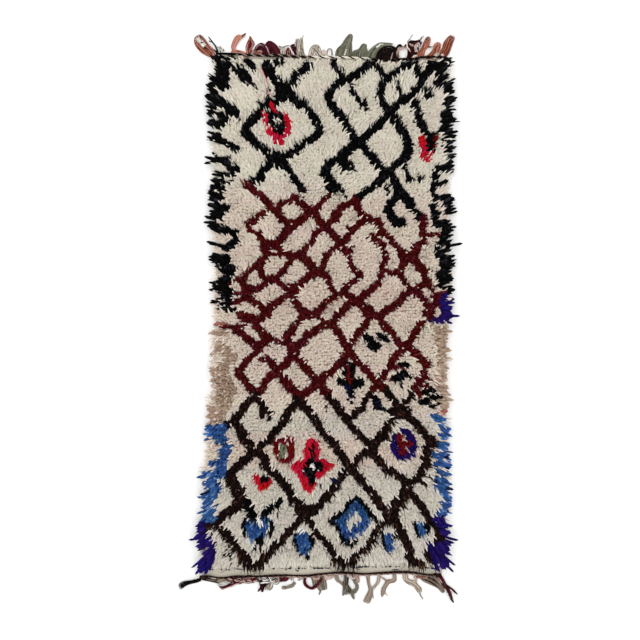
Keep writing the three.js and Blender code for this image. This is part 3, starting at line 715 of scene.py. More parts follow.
# One mesh of many copies of a strand, with one cell of the bake map for each
def strandMesh(name, points, faces, cell, along, tone, lift=pileNormalLift):
    count, size, _ = points.shape
    starts = np.cumsum([0] + [len(f) for f in faces])
    corners = np.concatenate([np.array(f) for f in faces])
    mesh = bpy.data.meshes.new(name)
    mesh.vertices.add(count * size)
    mesh.vertices.foreach_set("co", points.astype(np.float32).ravel())
    mesh.loops.add(count * len(corners))
    loops = corners[None] + np.arange(count)[:, None] * size
    mesh.loops.foreach_set("vertex_index", loops.astype(np.int32).ravel())
    mesh.polygons.add(count * len(faces))
    begins = starts[:-1][None] + np.arange(count)[:, None] * len(corners)
    mesh.polygons.foreach_set("loop_start", begins.astype(np.int32).ravel())
    mesh.update(calc_edges=True)
    mesh.shade_smooth()
    facing = np.empty(count * size * 3, np.float32)
    mesh.vertex_normals.foreach_get("vector", facing)
    facing = facing.reshape(-1, 3) + (0.0, 0.0, lift)
    facing /= np.linalg.norm(facing, axis=1, keepdims=True)
    mesh.normals_split_custom_set_from_vertices(facing)
    for key, values in (("strandAlong", along), ("strandTone", tone)):
        layer = mesh.attributes.new(key, "FLOAT", "POINT")
        layer.data.foreach_set("value", np.broadcast_to(values, (count, size)).astype(np.float32).ravel())
    cells = math.ceil(math.sqrt(count))
    spot = np.concatenate([np.array(c) for c in cell])
    corner = np.stack([np.arange(count) % cells, np.arange(count) // cells], 1)
    bake = (corner[:, None] + 0.06 + 0.88 * spot[None]) / cells
    mesh.uv_layers.new(name="OFBake").uv.foreach_set("vector", bake.astype(np.float32).ravel())
    piece = bpy.data.objects.new(name, mesh)
    bpy.context.scene.collection.objects.link(piece)
    return piece


# Matt wool: root and tip colour from the strand, a little lighter or darker from strand to strand,
# and over the rug the faint bands of greener and pinker fleece that hand spinning leaves
def woolMaterial(name, rootHex, tipHex, spread, swing=0.008):
    material, tree = newMaterial(name)
    along = addNode(tree, "ShaderNodeAttribute", {"attribute_name": "strandAlong"})
    tone = addNode(tree, "ShaderNodeAttribute", {"attribute_name": "strandTone"})
    # Root to tip colour along each strand; where the root is the lighter one, as in the cream lots, it is
    # painted light against the shade deep in the pile.
    blend = addNode(tree, "ShaderNodeMix", {"data_type": "RGBA"}, {0: along.outputs["Fac"]})
    blend.inputs[6].default_value = linear(rootHex)
    blend.inputs[7].default_value = linear(tipHex)
    value = addNode(tree, "ShaderNodeMapRange", {"To Min": 1 - spread, "To Max": 1 + spread},
                    {"Value": tone.outputs["Fac"]})
    place = addNode(tree, "ShaderNodeTexCoord")
    spin = addNode(tree, "ShaderNodeMapping", {"Scale": (3.0, 16.0, 1.0)},
                   {"Vector": place.outputs["Object"]})
    bands = addNode(tree, "ShaderNodeTexNoise", {"Scale": 1.0, "Detail": 2.0}, {"Vector": spin.outputs[0]})
    turn = addNode(tree, "ShaderNodeMapRange", {"From Min": 0.3, "From Max": 0.7, "To Min": 0.5 - swing,
                                                "To Max": 0.5 + swing},
                   {"Value": bands.outputs["Fac"]})
    hue = addNode(tree, "ShaderNodeHueSaturation",
                  links={"Color": blend.outputs[2], "Value": value.outputs[0], "Hue": turn.outputs[0]})
    shader = addNode(tree, "ShaderNodeBsdfPrincipled", {"Roughness": 0.85}, {"Base Color": hue.outputs[0]})
    shader.inputs["Specular IOR Level"].default_value = 0.05
    shader.inputs["Sheen Weight"].default_value = 0.02
    addNode(tree, "ShaderNodeOutputMaterial", links={"Surface": shader.outputs[0]})
    return material


woolMaterials = {name: woolMaterial(f"hand-spun wool dyed {name}", *dyes[name]) for name in dyeNames}


# Even random numbers from 0 to 1 that change softly from place to place
def softNoise(places, size, rng):
    cells = rng.random((64, 64))
    at = places / size + 31.0
    low = np.floor(at).astype(int)
    share = at - low
    share = share * share * (3 - 2 * share)
    (i, j), (u, v) = (low % 64).T, share.T
    k, m = (i + 1) % 64, (j + 1) % 64
    near = cells[i, j] * (1 - u) + cells[k, j] * u
    far = cells[i, m] * (1 - u) + cells[k, m] * u
    return near * (1 - v) + far * v


# Pieces of one kind of strand, one for each dye and not too large
def strandPieces(kind, dye, points, faces, cell, along, tone, most=12000, replaced=None,
                 lift=pileNormalLift):
    pieces = []
    for index, name in enumerate(dyeNames):
        chosen = np.flatnonzero(dye == index)
        parts = math.ceil(len(chosen) / most)
        for part, some in enumerate(np.array_split(chosen, max(parts, 1))):
            if len(some) == 0:
                continue
            label = f"{kind}_{name}" if parts == 1 else f"{kind}_{name}_{part + 1}"
            piece = strandMesh(label, points[some], faces, cell, along, tone[some], lift)
            putOnMaterial(piece, woolMaterials[name])
            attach(piece, rootBody)
            if replaced:
                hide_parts(replaced)
            pieces.append(piece)
    return pieces


print("pile")
pile = {
    "rowStep": 12.0 * mm,
    "knotStep": 9.0 * mm,
    "strandsPerKnot": 2,
    "coreRadius": 8.2 * mm,  # the felted lower part of each knot, which closes the pile
    "coreLength": 27.5 * mm,
    "length": 35.0 * mm,
    "lengthSpread": 2.5 * mm,
    "tuftLength": 1.05,  # times the length for dyed strands at the selvedges
    "darkTuftLength": 1.3,  # and for black and violet ones
    "tuftThickness": 1.25,  # times the thickness there
    "hemLength": 1.25,  # and for dyed strands of the last rows
    "thickness": 9.0 * mm,
    "slimShare": 0.34,
    "slimLength": 1.08,
    "fullLength": 0.94,
    "edgeLength": 1.32,  # times the length for pointed strands that cross the edge of a dye
    "heading": 18.0 * mm,
    "flatBand": 64.0 * mm,
    "rootHeight": 2.0 * mm,
    "slipAcross": 0.6 * mm,  # how far a strand sits off its knot, as one standard deviation
    "slipAlong": 2.2 * mm,
    "leanKnot": 0.12,  # radians, as one standard deviation
    "leanStrand": 0.16,
    "leanField": 0.34,  # neighbouring knots lean the same way
    "fieldSize": 70.0 * mm,
    "leanRadial": 0.42,  # radians for each metre from the middle: the pile has been brushed outward
    "leanOut": 1.0,  # extra lean at the selvedges
    "leanReach": 52.0 * mm,  # how far in from a selvedge it goes
    "leanDown": 0.85,  # extra lean of the last rows
    "creamDown": 0.45,  # share of it that undyed strands have
    "downReach": 42.0 * mm,
    "leanBack": 0.85,  # and of the first rows, back from the heading
    # share of the outward lean for each dye
    "flop": {"cream": 0.45, "taupe": 0.6, "russet": 0.6, "blue": 0.8},
    "strayCream": 0.009,  # share of dyed strands that are cream after all
    "most": 39.5 * mm,
    "seed": 7,
}


def layKnots():
    low = endLine(0.0, -1) * chart["square"] + pile["flatBand"]
    high = endLine(0.0, 1) * chart["square"] - pile["heading"]
    rowCount = round((high - low) / pile["rowStep"])
    length = (endLine(0.0, 1) - endLine(0.0, -1)) * chart["square"]
    places = []
    for row in range(rowCount + 1):
        up = (low + row * pile["rowStep"]) / length - endLine(0.0, -1) * chart["square"] / length
        sides = groundPoint(np.array([0.0, 1.0]), np.full(2, up), ground["inset"])[0] * chart["square"]
        count = int((sides[1] - sides[0]) / pile["knotStep"])
        over = (np.arange(count) + 0.5) / count
        across, along = groundPoint(over, np.full(count, up), ground["inset"])
        places.append(np.stack([across, along], 1) * chart["square"])
    return np.concatenate(places), low


# Strand lines bending over towards their tips, from a root, a lean and a length
def bendStrands(roots, leanX, leanY, length, shares):
    lean = np.clip(np.hypot(leanX, leanY), 0.02, 1.25)
    way = np.stack([leanX, leanY], 1) / np.maximum(np.hypot(leanX, leanY), 1e-6)[:, None]
    angles = np.minimum(lean[:, None] * (0.55 + 0.75 * shares[None]), 1.52)
    steps = np.diff(shares)[None] * length[:, None]
    middle = (angles[:, 1:] + angles[:, :-1]) / 2
    zero = np.zeros((len(roots), 1))
    side = np.concatenate([zero, np.cumsum(steps * np.sin(middle), 1)], 1)
    up = np.concatenate([zero, np.cumsum(steps * np.cos(middle), 1)], 1)
    line = np.empty((len(roots), len(shares), 3))
    line[:, :, 0] = roots[:, 0, None] + side * way[:, 0, None] + chart["middle"][0]
    line[:, :, 1] = roots[:, 1, None] + side * way[:, 1, None] + chart["middle"][1]
    line[:, :, 2] = np.minimum(up + pile["rootHeight"], pile["most"])
    return line, way


# The dyes again, with the uneven shades and the lots of undyed fleece in them
def shadeStrands(dye, up, rng):
    shaded = dye.copy()
    draw = rng.random(len(dye))
    for name, shade, share in unevenDye:
        some = (dye == dyeNames.index(name)) & (draw >= 0) & (draw < share)
        shaded[some] = dyeNames.index(shade)
        draw[dye == dyeNames.index(name)] -= share
    lot = np.searchsorted([top for name, top in fleeceLots], up + rng.normal(0, 7, len(dye)))
    lots = np.array([dyeNames.index(name) for name, top in fleeceLots])[lot]
    rosy = lots == dyeNames.index("creamRosy")
    lots[rosy & (rng.random(len(dye)) < 0.4)] = dyeNames.index("creamWarm")
    return np.where(dye == 0, lots, shaded)


def growPile():
    rng = np.random.default_rng(pile["seed"])
    knots, lastRow = layKnots()
    per = pile["strandsPerKnot"]
    roots = np.repeat(knots, per, axis=0)
    count = len(roots)
    spread = (np.tile(np.arange(per), len(knots)) - (per - 1) / 2) * pile["knotStep"] / per
    roots[:, 0] += spread + rng.normal(0, pile["slipAcross"], count)
    roots[:, 1] += rng.normal(0, pile["slipAlong"], count)
    squares = roots / chart["square"]
    toLeft = (squares[:, 0] - sideLine(squares[:, 1], -1) - ground["inset"]) * chart["square"]
    toRight = (sideLine(squares[:, 1], 1) - ground["inset"] - squares[:, 0]) * chart["square"]
    nearLeft = np.clip(1 - toLeft / pile["leanReach"], 0, 1)
    nearRight = np.clip(1 - toRight / pile["leanReach"], 0, 1)
    nearHem = np.clip(1 - (roots[:, 1] - lastRow) / pile["downReach"], 0, 1)
    nearTop = np.clip(1 - (np.max(knots[:, 1]) - roots[:, 1]) / pile["downReach"], 0, 1)
    leanX = pile["leanField"] * (2 * softNoise(knots, pile["fieldSize"], rng) - 1)
    leanY = pile["leanField"] * (2 * softNoise(knots, pile["fieldSize"], rng) - 1)
    leanX = np.repeat(leanX + rng.normal(0, pile["leanKnot"], len(knots)), per) + rng.normal(0,
        pile["leanStrand"], count)
    leanY = np.repeat(leanY + rng.normal(0, pile["leanKnot"], len(knots)), per) + rng.normal(0,
        pile["leanStrand"], count)
    leanX += pile["leanRadial"] * roots[:, 0]
    leanY += pile["leanRadial"] * roots[:, 1] - pile["leanDown"] * nearHem - pile["leanBack"] * nearTop
    length = pile["length"] + rng.normal(0, pile["lengthSpread"], count)
    slim = rng.random(count) < pile["slimShare"]
    length *= np.where(slim, pile["slimLength"], pile["fullLength"])
    shares = np.array([0.0, 0.5, 0.85, 1.0])
    outward = pile["leanOut"] * (nearRight - nearLeft)
    line, way = bendStrands(roots, leanX + outward, leanY, length, shares)
    dye = dyeAt(seenSquare(0.35 * line[:, 1] + 0.65 * line[:, 2]))
    flop = np.array([pile["flop"].get(name, 1.0) for name in dyeNames])
    leanX += outward * flop[dye]
    leanY += pile["leanDown"] * (1 - pile["creamDown"]) * nearHem * (dye == 0)
    line, way = bendStrands(roots, leanX, leanY, length, shares)
    dye = dyeAt(seenSquare(0.35 * line[:, 1] + 0.65 * line[:, 2]))
    dyed = dye > 0
    edge = (dye != dyeAt(seenSquare(line[:, 3]))) | (dye != dyeAt(seenSquare(line[:, 0])))
    slim |= edge & (rng.random(count) < 0.85)
    length *= np.where(edge & slim, pile["edgeLength"] * rng.uniform(0.75, 1.25, count), 1)
    tuft = dyed & (np.maximum(nearLeft, nearRight) > 0.25)
    slim &= ~tuft | (rng.random(count) < 0.25)
    reaching = np.isin(dye, [dyeNames.index("black"), dyeNames.index("violet")])
    tuftLength = np.where(reaching, pile["darkTuftLength"], pile["tuftLength"])
    longer = 1 + tuft * (tuftLength - 1) * rng.uniform(0.4, 1.3, count)
    longer *= 1 + dyed * (nearHem > 0.2) * (pile["hemLength"] - 1) * rng.uniform(0.3, 1.4, count)
    line, way = bendStrands(roots, leanX, leanY, length * longer, shares)
    ends = seenSquare(line[:, 3])
    beyond = (ends[:, 0] < sideLine(ends[:, 1], -1) + 2) | (ends[:, 0] > sideLine(ends[:, 1], 1) - 2)
    beyond |= ends[:, 1] < -244
    # a tuft hangs over the edge, not over other dyes
    longer = np.where(beyond | (dyeAt(ends) == dye), longer, 1)
    line, way = bendStrands(roots, leanX, leanY, length * longer, shares)
    dye[dyed & (rng.random(count) < pile["strayCream"])] = 0
    dye = shadeStrands(dye, roots[:, 1] / chart["square"], rng)
    radius = pile["thickness"] / 2 * rng.uniform(0.85, 1.15, count) * np.where(tuft,
        pile["tuftThickness"], 1)
    radii = radius[:, None] * np.where(slim[:, None], (1.0, 0.85, 0.5), (1.0, 1.1, 0.95))
    acrossWay = np.stack([-way[:, 1], way[:, 0], np.zeros(count)], 1)
    points, faces, cell = sweepStrands(line[:, :3], line[:, 3], radii, acrossWay, 3)
    along = np.array([[0.0] * 3 + [0.5] * 3 + [0.85] * 3 + [1.0]])
    pieces = strandPieces("pile", dye, points, faces, cell, along, rng.random((count, 1)))

    leans = np.stack([leanX, leanY], 1).reshape(-1, per, 2).mean(1) * 0.8
    lean = np.hypot(*leans.T)
    leans *= (np.minimum(lean, 1.1) / np.maximum(lean, 1e-6))[:, None]
    core = np.empty((len(knots), 3, 3))
    reach = pile["coreLength"] * np.array([0.0, 0.62, 1.0]) * rng.uniform(0.9, 1.1, len(knots))[:, None]
    core[:, :, 0] = knots[:, 0, None] + np.sin(leans[:, 0, None]) * reach + chart["middle"][0]
    core[:, :, 1] = knots[:, 1, None] + np.sin(leans[:, 1, None]) * reach + chart["middle"][1]
    core[:, :, 2] = np.cos(np.hypot(*leans.T))[:, None] * reach + pile["rootHeight"]
    coreRadii = pile["coreRadius"] * np.array([[0.9, 1.0]]) * np.ones((len(knots), 1))
    coreAcross = np.tile([1.0, 0.0, 0.0], (len(knots), 1))
    corePoints, coreFaces, coreCell = sweepStrands(core[:, :2], core[:, 2], coreRadii, coreAcross, 4)
    coreAlong = np.array([[0.0] * 4 + [0.6] * 4 + [0.9]])
    coreDye = shadeStrands(dyeAt(seenSquare(core[:, 2])), knots[:, 1] / chart["square"], rng)
    pieces += strandPieces("core", coreDye, corePoints, coreFaces, coreCell, coreAlong,
                           rng.random((len(knots), 1)))
    print("knots", len(knots), "strands", count)
    return pieces, line, dye


# Single long hairs that have worked out of the dyed lines and lie across the pile
hairs = {
    "count": 420,
    "hemCount": 90,
    "thickness": 1.3 * mm,
    "length": (22.0 * mm, 58.0 * mm),
    "curl": 1.3,
    "seed": 19,
}


def growHairs(line, dye):
    rng = np.random.default_rng(hairs["seed"])
    dark = np.isin(dye, [dyeNames.index(name) for name in ("black", "burgundy", "brown")])
    tips = line[:, 3]
    square = seenSquare(tips)
    probe = rng.uniform(0, 2 * np.pi, len(tips))
    beside = np.stack([np.cos(probe), np.sin(probe)], 1)
    clear = hairs["length"][1] / chart["square"]  # squares to the selvedge, so that no hair hangs past it
    inside = (square[:, 0] > sideLine(square[:, 1], -1) + clear) & (square[:, 0] < sideLine(square[:, 1],
        1) - clear)
    edge = np.flatnonzero(dark & inside & (dyeAt(square + 3.5 * beside) == 0))
    hem = np.flatnonzero(dark & (square[:, 1] < -228))
    chosen = np.concatenate([rng.choice(edge, hairs["count"], replace=False),
                             rng.choice(hem, hairs["hemCount"], replace=False)])
    count = len(chosen)
    heading = np.concatenate([probe[chosen[: hairs["count"]]],
                              rng.normal(-np.pi / 2, 0.5, hairs["hemCount"])])
    curl = rng.normal(0, hairs["curl"], count)
    length = rng.uniform(*hairs["length"], count)
    shares = np.linspace(0, 1, 9)
    angles = heading[:, None] + curl[:, None] * shares[None]
    steps = length[:, None] / 8
    path = np.empty((count, 9, 3))
    path[:, 0] = tips[chosen] - np.array([0, 0, 2 * mm])
    path[:, 1:, 0] = path[:, :1, 0] + np.cumsum(steps * np.cos(angles[:, 1:]), 1)
    path[:, 1:, 1] = path[:, :1, 1] + np.cumsum(steps * np.sin(angles[:, 1:]), 1)
    path[:, 1:, 2] = path[:, :1, 2]
    # down onto the flat band beyond the last rows
    under = np.clip((seenSquare(path)[..., 1] + 243) / 8, 0, 1)
    path[:, :, 2] = np.minimum(path[:, :1, 2] + 4 * mm * np.sin(np.pi * shares[None]), 40 * mm)
    path[:, :, 2] = np.maximum(path[:, :, 2] * under, 5.5 * mm)
    radii = np.full((count, 8), hairs["thickness"] / 2)
    upWay = np.tile([0.0, 0.0, 1.0], (count, 1))
    points, faces, cell = sweepStrands(path[:, :8], path[:, 8], radii, upWay, 3)
    along = np.array([np.append(np.repeat(shares[:8], 3), 1.0)])
    return strandPieces("hair", dye[chosen], points, faces, cell, along, rng.random((count, 1)))


pilePieces, strandLines, strandDyes = growPile()
growHairs(strandLines, strandDyes)


print("yarn ends")
yarns = {
    "rings": 14,  # along each loose strand
    "coverage": 0.62,  # distance between strands of a tuft, as a share of their thickness
    "wander": 0.32,  # squares, how far a strand strays from its line
    "crown": 5.0 * mm,  # how much the middle of a tuft is raised
    "ragged": 0.07,  # share of their length by which free ends differ
    "tipShare": 0.45,  # thickness of a free end
    "turn": 4.4,  # squares for one turn of a twined cord
    "seed": 31,
}
yarnRandom = np.random.default_rng(yarns["seed"])
laidStrands = []


# A smooth line through points given in chart squares, as even steps
def smoothLine(points, steps):
    given = np.array(points, float)
    near = np.vstack([2 * given[0] - given[1], given, 2 * given[-1] - given[-2]])
    at = np.linspace(0, len(given) - 1, 12 * len(given))
    low = np.minimum(at.astype(int), len(given) - 2)
    u = (at - low)[:, None]
    a, b, c, d = near[low], near[low + 1], near[low + 2], near[low + 3]
    line = b + 0.5 * u * (c - a + u * (2 * a - 5 * b + 4 * c - d + u * (3 * b - a - 3 * c + d)))
    reach = np.append(0, np.cumsum(np.linalg.norm(np.diff(line, axis=0), axis=1)))
    places = np.linspace(0, reach[-1], steps)
    return np.stack([np.interp(places, reach, line[:, i]) for i in (0, 1)], 1)


# Lines are charted as the camera sees them, so what lies higher comes a little nearer to the middle
def onFloor(line, height):
    path = np.empty((len(line), 3))
    path[:, 2] = height
    path[:, :2] = line * chart["square"] * (1 - path[:, 2:] / photoView["height"]) + chart["middle"]
    return path


# A tuft of strands side by side between its two edges; looped tufts come back to the rug
def layTuft(group, dyed, thick, edgeA, edgeB, over=0.0, looped=False):
    steps = yarns["rings"] + 1
    lineA, lineB = smoothLine(edgeA, steps), smoothLine(edgeB, steps)
    width = np.max(np.linalg.norm(lineA - lineB, axis=1)) * chart["square"]
    count = max(2, round(width / (thick * mm * yarns["coverage"])))
    along = np.linspace(0, 1, steps)
    for index in range(count):
        across = np.clip((index + 0.5) / count + yarnRandom.normal(0, 0.12 / count), 0.02, 0.98)
        phase, bend = yarnRandom.uniform(0, 6.3, 2)
        stray = yarns["wander"] * np.sin(along * (3 + 2 * bend) + phase) * np.minimum(1, 4 * along)
        line = lineA * (1 - across) + lineB * across
        ways = np.gradient(line, axis=0)
        ways /= np.linalg.norm(ways, axis=1, keepdims=True) + 1e-9
        line = line + stray[:, None] * np.stack([-ways[:, 1], ways[:, 0]], 1)
        reach = 1 if looped else 1 - yarns["ragged"] * yarnRandom.random() ** 2
        line = np.stack([np.interp(along * reach, along, line[:, i]) for i in (0, 1)], 1)
        radius = 0.5 * thick * mm * yarnRandom.uniform(0.85, 1.15)
        layer = yarnRandom.random() * 0.8 * thick * mm
        height = (1.1 * radius + over * mm + layer
                  + yarns["crown"] * np.sin(np.pi * across) * np.sin(np.pi * along * 0.9))
        last = 1.0 if looped else yarns["tipShare"]
        radii = radius * np.interp(along[:-1], [0, 0.65, 1], [1, 1, last])
        keepStrand(group, dyed[index % len(dyed)], onFloor(line, height), radii)


def keepStrand(group, dye, path, radii):
    laidStrands.append((group, dyeNames.index(dye), path, radii))


# Plies twisted round one another along a line, with the cord's width at each point of it
def layTwist(group, dyed, points, widths, turn=None, over=0.0, ringsPerTurn=8):
    length = np.sum(np.linalg.norm(np.diff(np.array(points, float), axis=0), axis=1))
    turns = length / (turn or yarns["turn"])
    steps = int(round(max(turns, 1.5) * ringsPerTurn)) + 2
    line = smoothLine(points, steps)
    along = np.linspace(0, 1, steps)
    wide = np.interp(along, np.linspace(0, 1, len(widths)), widths) * chart["square"]
    ways = np.gradient(line, axis=0)
    ways /= np.linalg.norm(ways, axis=1, keepdims=True) + 1e-9
    aside = np.stack([-ways[:, 1], ways[:, 0], np.zeros(steps)], 1)
    ply = 0.31 * wide
    for index, dye in enumerate(dyed):
        turned = 2 * np.pi * (index / len(dyed) + turns * along)
        path = onFloor(line, over * mm + wide * 0.5)
        path += aside * (np.cos(turned) * (wide / 2 - ply))[:, None]
        path[:, 2] += np.sin(turned) * (wide / 2 - ply) * 0.95
        keepStrand(group, dye, path, ply[:-1])


print("upper yarn ends")
top = "fringe_top"
# In the salmon tufts the darker madder strands are painted shade between the strands.
layTuft(top, ["salmon", "rustAndSalmonShade", "salmon", "salmonDeepShade", "pink", "rustAndSalmonShade", "salmon"], 3.0,
        [(-106, 261.5), (-111, 263.6), (-115, 265), (-119.3, 267.8), (-123.5, 272.6), (-126, 278.5),
         (-125.3, 282.5), (-121.5, 285.5)],
        [(-104, 262), (-105, 268), (-107, 271.5), (-110.5, 275.6), (-114.6, 280.2), (-118.2, 284.3),
         (-121, 285.8)])
layTuft(top, ["white", "white", "grey"], 3.4, [(-116.5, 272.5), (-120, 276.5), (-125.5, 281)],
        [(-113.8, 275), (-117.5, 279), (-122, 285)], over=6)
layTuft(top, ["black"], 2.6, [(-120.6, 284.8), (-119.5, 281.6)], [(-119.8, 285), (-118.9, 281.8)], over=9)
layTuft(top, ["black"], 2.4, [(-119.6, 277.3), (-116.4, 278.8)], [(-119.2, 276.6), (-116, 278)], over=11)
layTuft(top, ["black", "wine"], 3, [(-116.5, 273.6), (-111.5, 270.9)], [(-115.2, 272.2), (-111, 270.2)],
        over=9)
layTuft(top, ["pink", "beige", "pink"], 3, [(-108, 268), (-108.5, 263), (-107.8, 257.5)],
        [(-105, 267.5), (-105.8, 262), (-106.2, 258)])
layTuft(top, ["pink", "black"], 2.6, [(-105, 267), (-103, 263.5), (-101.5, 261.5)],
        [(-103.5, 267), (-101.7, 264), (-100.6, 262)], over=8)
layTuft(top, ["black"], 3, [(-109, 263), (-107.6, 257.5), (-106, 255)],
        [(-108, 263), (-106.6, 258), (-105.4, 255.4)], over=4)
layTwist(top, ["black", "black"], [(-102.3, 268), (-104.4, 273.6), (-108.5, 279.2), (-111.7, 283.5)],
         [2.1, 1.6, 1.0], over=2)
layTuft(top, ["black"], 2, [(-108, 278.6), (-110.4, 278.9), (-110.6, 280)],
        [(-108, 278.2), (-110.6, 278.4), (-111, 280)], over=2)
layTwist(top, ["cream", "grey"], [(-102.6, 273.4), (-99.3, 272.6), (-96.4, 269.4), (-97.6, 267.6),
                                  (-99.8, 268.6), (-100.6, 272)],
         [1.3, 2, 2.2, 1.6, 1.2], over=1)
layTuft(top, ["salmon", "salmon", "salmon", "pink"], 3.4,
        [(-87.5, 269), (-88.6, 273.6), (-87.5, 278.7), (-85, 282.8), (-81.4, 285.6), (-78.4, 285),
         (-74.3, 287)],
        [(-85.2, 269.5), (-84, 273.6), (-80.9, 277.7), (-78.4, 281.2), (-76.3, 283), (-74, 286.4)])
layTuft(top, ["brown"], 2, [(-79, 283.8), (-73.8, 287.2)], [(-78, 283), (-73.6, 286.8)], over=5)
layTuft(top, ["salmon", "pink", "salmon", "rustAndSalmonShade"], 3.2, [(-89, 268.2), (-86, 270.3), (-81, 269.8),
                                                         (-76, 268.1), (-71, 265.8)],
        [(-88.5, 266), (-84, 266.3), (-79, 264.8), (-74, 263.3), (-71, 262.3)], over=4, looped=True)
layTuft(top, ["cream", "pink"], 2.6, [(-81, 265.5), (-79, 262), (-76.5, 258.5)],
        [(-77, 265), (-75.5, 261), (-74.2, 258)], over=10)
layTuft(top, ["salmon", "rustAndSalmonShade", "salmon", "pink", "salmonDeepShade"], 3.0,
        [(-72.4, 263.5), (-74.3, 271), (-72.8, 277), (-70.9, 281.7), (-70.5, 284.5)],
        [(-69.8, 263.5), (-67.7, 271.5), (-65.6, 275.4), (-67.7, 280.5), (-70.2, 284.6)])
layTuft(top, ["wine"], 3, [(-72, 271), (-70.8, 277), (-70.2, 280)],
        [(-69.8, 271.5), (-68.8, 276.5), (-69.2, 280)], over=5)
layTuft(top, ["salmon", "rustAndSalmonShade", "pink"], 3.4, [(-67.5, 269.5), (-64, 270.8), (-60.5, 269.5), (-58, 266)],
        [(-67, 264), (-63, 264.5), (-60, 265), (-58.5, 264.5)], looped=True)
layTuft(top, ["maroon", "oxblood", "maroon", "pink", "maroon", "madder"], 3.4,
        [(-66, 266), (-65, 272), (-62, 276), (-59, 277.3), (-56, 275.5), (-53.5, 271), (-52, 263)],
        [(-62, 267), (-61.5, 269.5), (-60, 270.5), (-58.8, 270), (-57.8, 268), (-57.2, 263.5)], over=2,
        looped=True)
layTuft(top, ["maroon"], 4.4,
        [(-55.5, 264), (-55.8, 271), (-54.3, 276.6), (-51, 279.4), (-47, 277.7), (-43, 273.7),
         (-40.3, 268), (-39.4, 262.5)],
        [(-50, 263), (-49.2, 266), (-47.8, 267.5), (-46.4, 266.8), (-45.5, 263)], over=5, looped=True)
# This pink strand and the madder strands of the next tuft, laid within the maroon loop, are painted
# highlights on it.
layTuft(top, ["pink"], 2.2, [(-54.8, 274), (-52.2, 270), (-50.4, 265)],
        [(-54.3, 274.2), (-51.8, 270), (-49.8, 265)], over=14)
layTuft(top, ["madder", "oxblood"], 2.2, [(-53, 276.4), (-49, 277.4), (-44, 272.6), (-41, 265)],
        [(-52, 272.4), (-49, 273.6), (-46, 270.4), (-43.4, 264.4)],
        over=10, looped=True)
layTuft(top, ["black", "brown"], 3.4, [(-50, 264), (-45, 264.8), (-40, 264.8), (-37, 262)],
        [(-50, 262.8), (-45, 263.4), (-40, 263.2), (-38, 261)],
        over=10, looped=True)
layTuft(top, ["cream", "sage", "beige", "cream"], 3.2, [(-40.3, 261), (-40.6, 268), (-41, 274)],
        [(-34, 261), (-34.6, 268), (-34.6, 272.8)])
layTuft(top, ["grey", "sage"], 2, [(-41, 274.2), (-38, 273.2), (-34.4, 274), (-31.3, 275), (-29, 274)],
        [(-41, 273.7), (-38, 272.5), (-34.4, 273.2), (-31.3, 274.2), (-29.3, 273.4)], over=4)
layTuft(top, ["pink", "maroon", "maroon", "wine", "maroon"], 3.2,
        [(-34.8, 264), (-34.6, 268), (-33.6, 271), (-31.8, 272.6)],
        [(-27, 262), (-28, 267), (-29.3, 270.5), (-30.8, 272.7)], over=2)
layTuft(top, ["white", "pink"], 2.6, [(-31, 273.3), (-29.6, 270.5), (-27.6, 266.4), (-26, 263.5)],
        [(-30, 273.4), (-28.5, 270.5), (-26.4, 266.6), (-24.6, 264.2)], over=9)
layTuft(top, ["maroon", "black", "maroon"], 3.4, [(-27.8, 265), (-29, 270), (-29.4, 273.5), (-27, 276.3)],
        [(-23.6, 265), (-24, 270), (-24.5, 273.8), (-26.5, 276.4)], over=3)
layTuft(top, ["black"], 3, [(-30, 264.3), (-27, 263.6), (-25, 264.6)],
        [(-29, 263), (-27, 262.4), (-24.5, 263.4)], over=12)
layTuft(top, ["beige", "cream", "grey", "cream", "umber", "beige", "taupe"], 2.6,
        [(-25, 262), (-24.6, 270), (-25.2, 276), (-24.4, 281.8)],
        [(-13, 263), (-16, 268), (-16.8, 274), (-17.2, 280), (-17.2, 283)])
layTuft(top, ["grey"], 1.6, [(-18.5, 281), (-16.3, 285.6)], [(-18, 281), (-16.1, 285.2)])
layTuft(top, ["beige", "cream", "umber", "cream", "grey"], 2.6,
        [(-11.8, 263), (-10.4, 270), (-8.3, 274), (-4.6, 276), (-1, 274), (1.4, 269), (6.4, 263.5)],
        [(-5.5, 263), (-5, 264.5), (-4.4, 265), (-3.8, 264.5), (-3.4, 263)], looped=True)
layTuft(top, ["brown", "taupe"], 2.4, [(-6.6, 272.2), (-4.4, 270.8)], [(-6.2, 271), (-4.8, 270)], over=9)
layTuft(top, ["brown"], 2.2, [(-2.4, 273.6), (-0.6, 272)], [(-2.2, 272.8), (-1, 271.4)], over=8)
layTuft(top, ["pink", "cream"], 3, [(1.6, 268.5), (3.5, 270), (6, 268.5), (8, 264)],
        [(2.5, 264), (4, 266), (5, 265.5), (6, 263.5)], looped=True)
layTuft(top, ["brown", "taupe"], 2, [(6.2, 264), (7.2, 269.5), (10, 271.6), (12.4, 269.5), (12.6, 264)],
        [(7, 264), (8, 269), (10, 270.7), (11.7, 269), (11.8, 264)], looped=True)
layTuft(top, ["sage", "olive", "grey", "sage", "umber", "sage", "olive"], 2.8,
        [(14.6, 262), (16.5, 270), (21, 275), (25, 281), (28, 285), (30.5, 286.6)],
        [(32, 262), (31.8, 271), (32, 279.7), (33, 283.3), (31.4, 286.2)])
layTuft(top, ["white", "cream"], 2.4, [(23.8, 265), (25.2, 268), (26.2, 271)],
        [(24.8, 264.6), (26, 268), (26.8, 271)], over=9)
layTuft(top, ["sage", "grey", "olive", "sage", "umber"], 2.8,
        [(32, 262), (33.2, 268.5), (38, 270.8), (41, 274.7), (44, 277.2)],
        [(47.5, 262), (47.6, 268.5), (46.5, 272), (47, 276)])
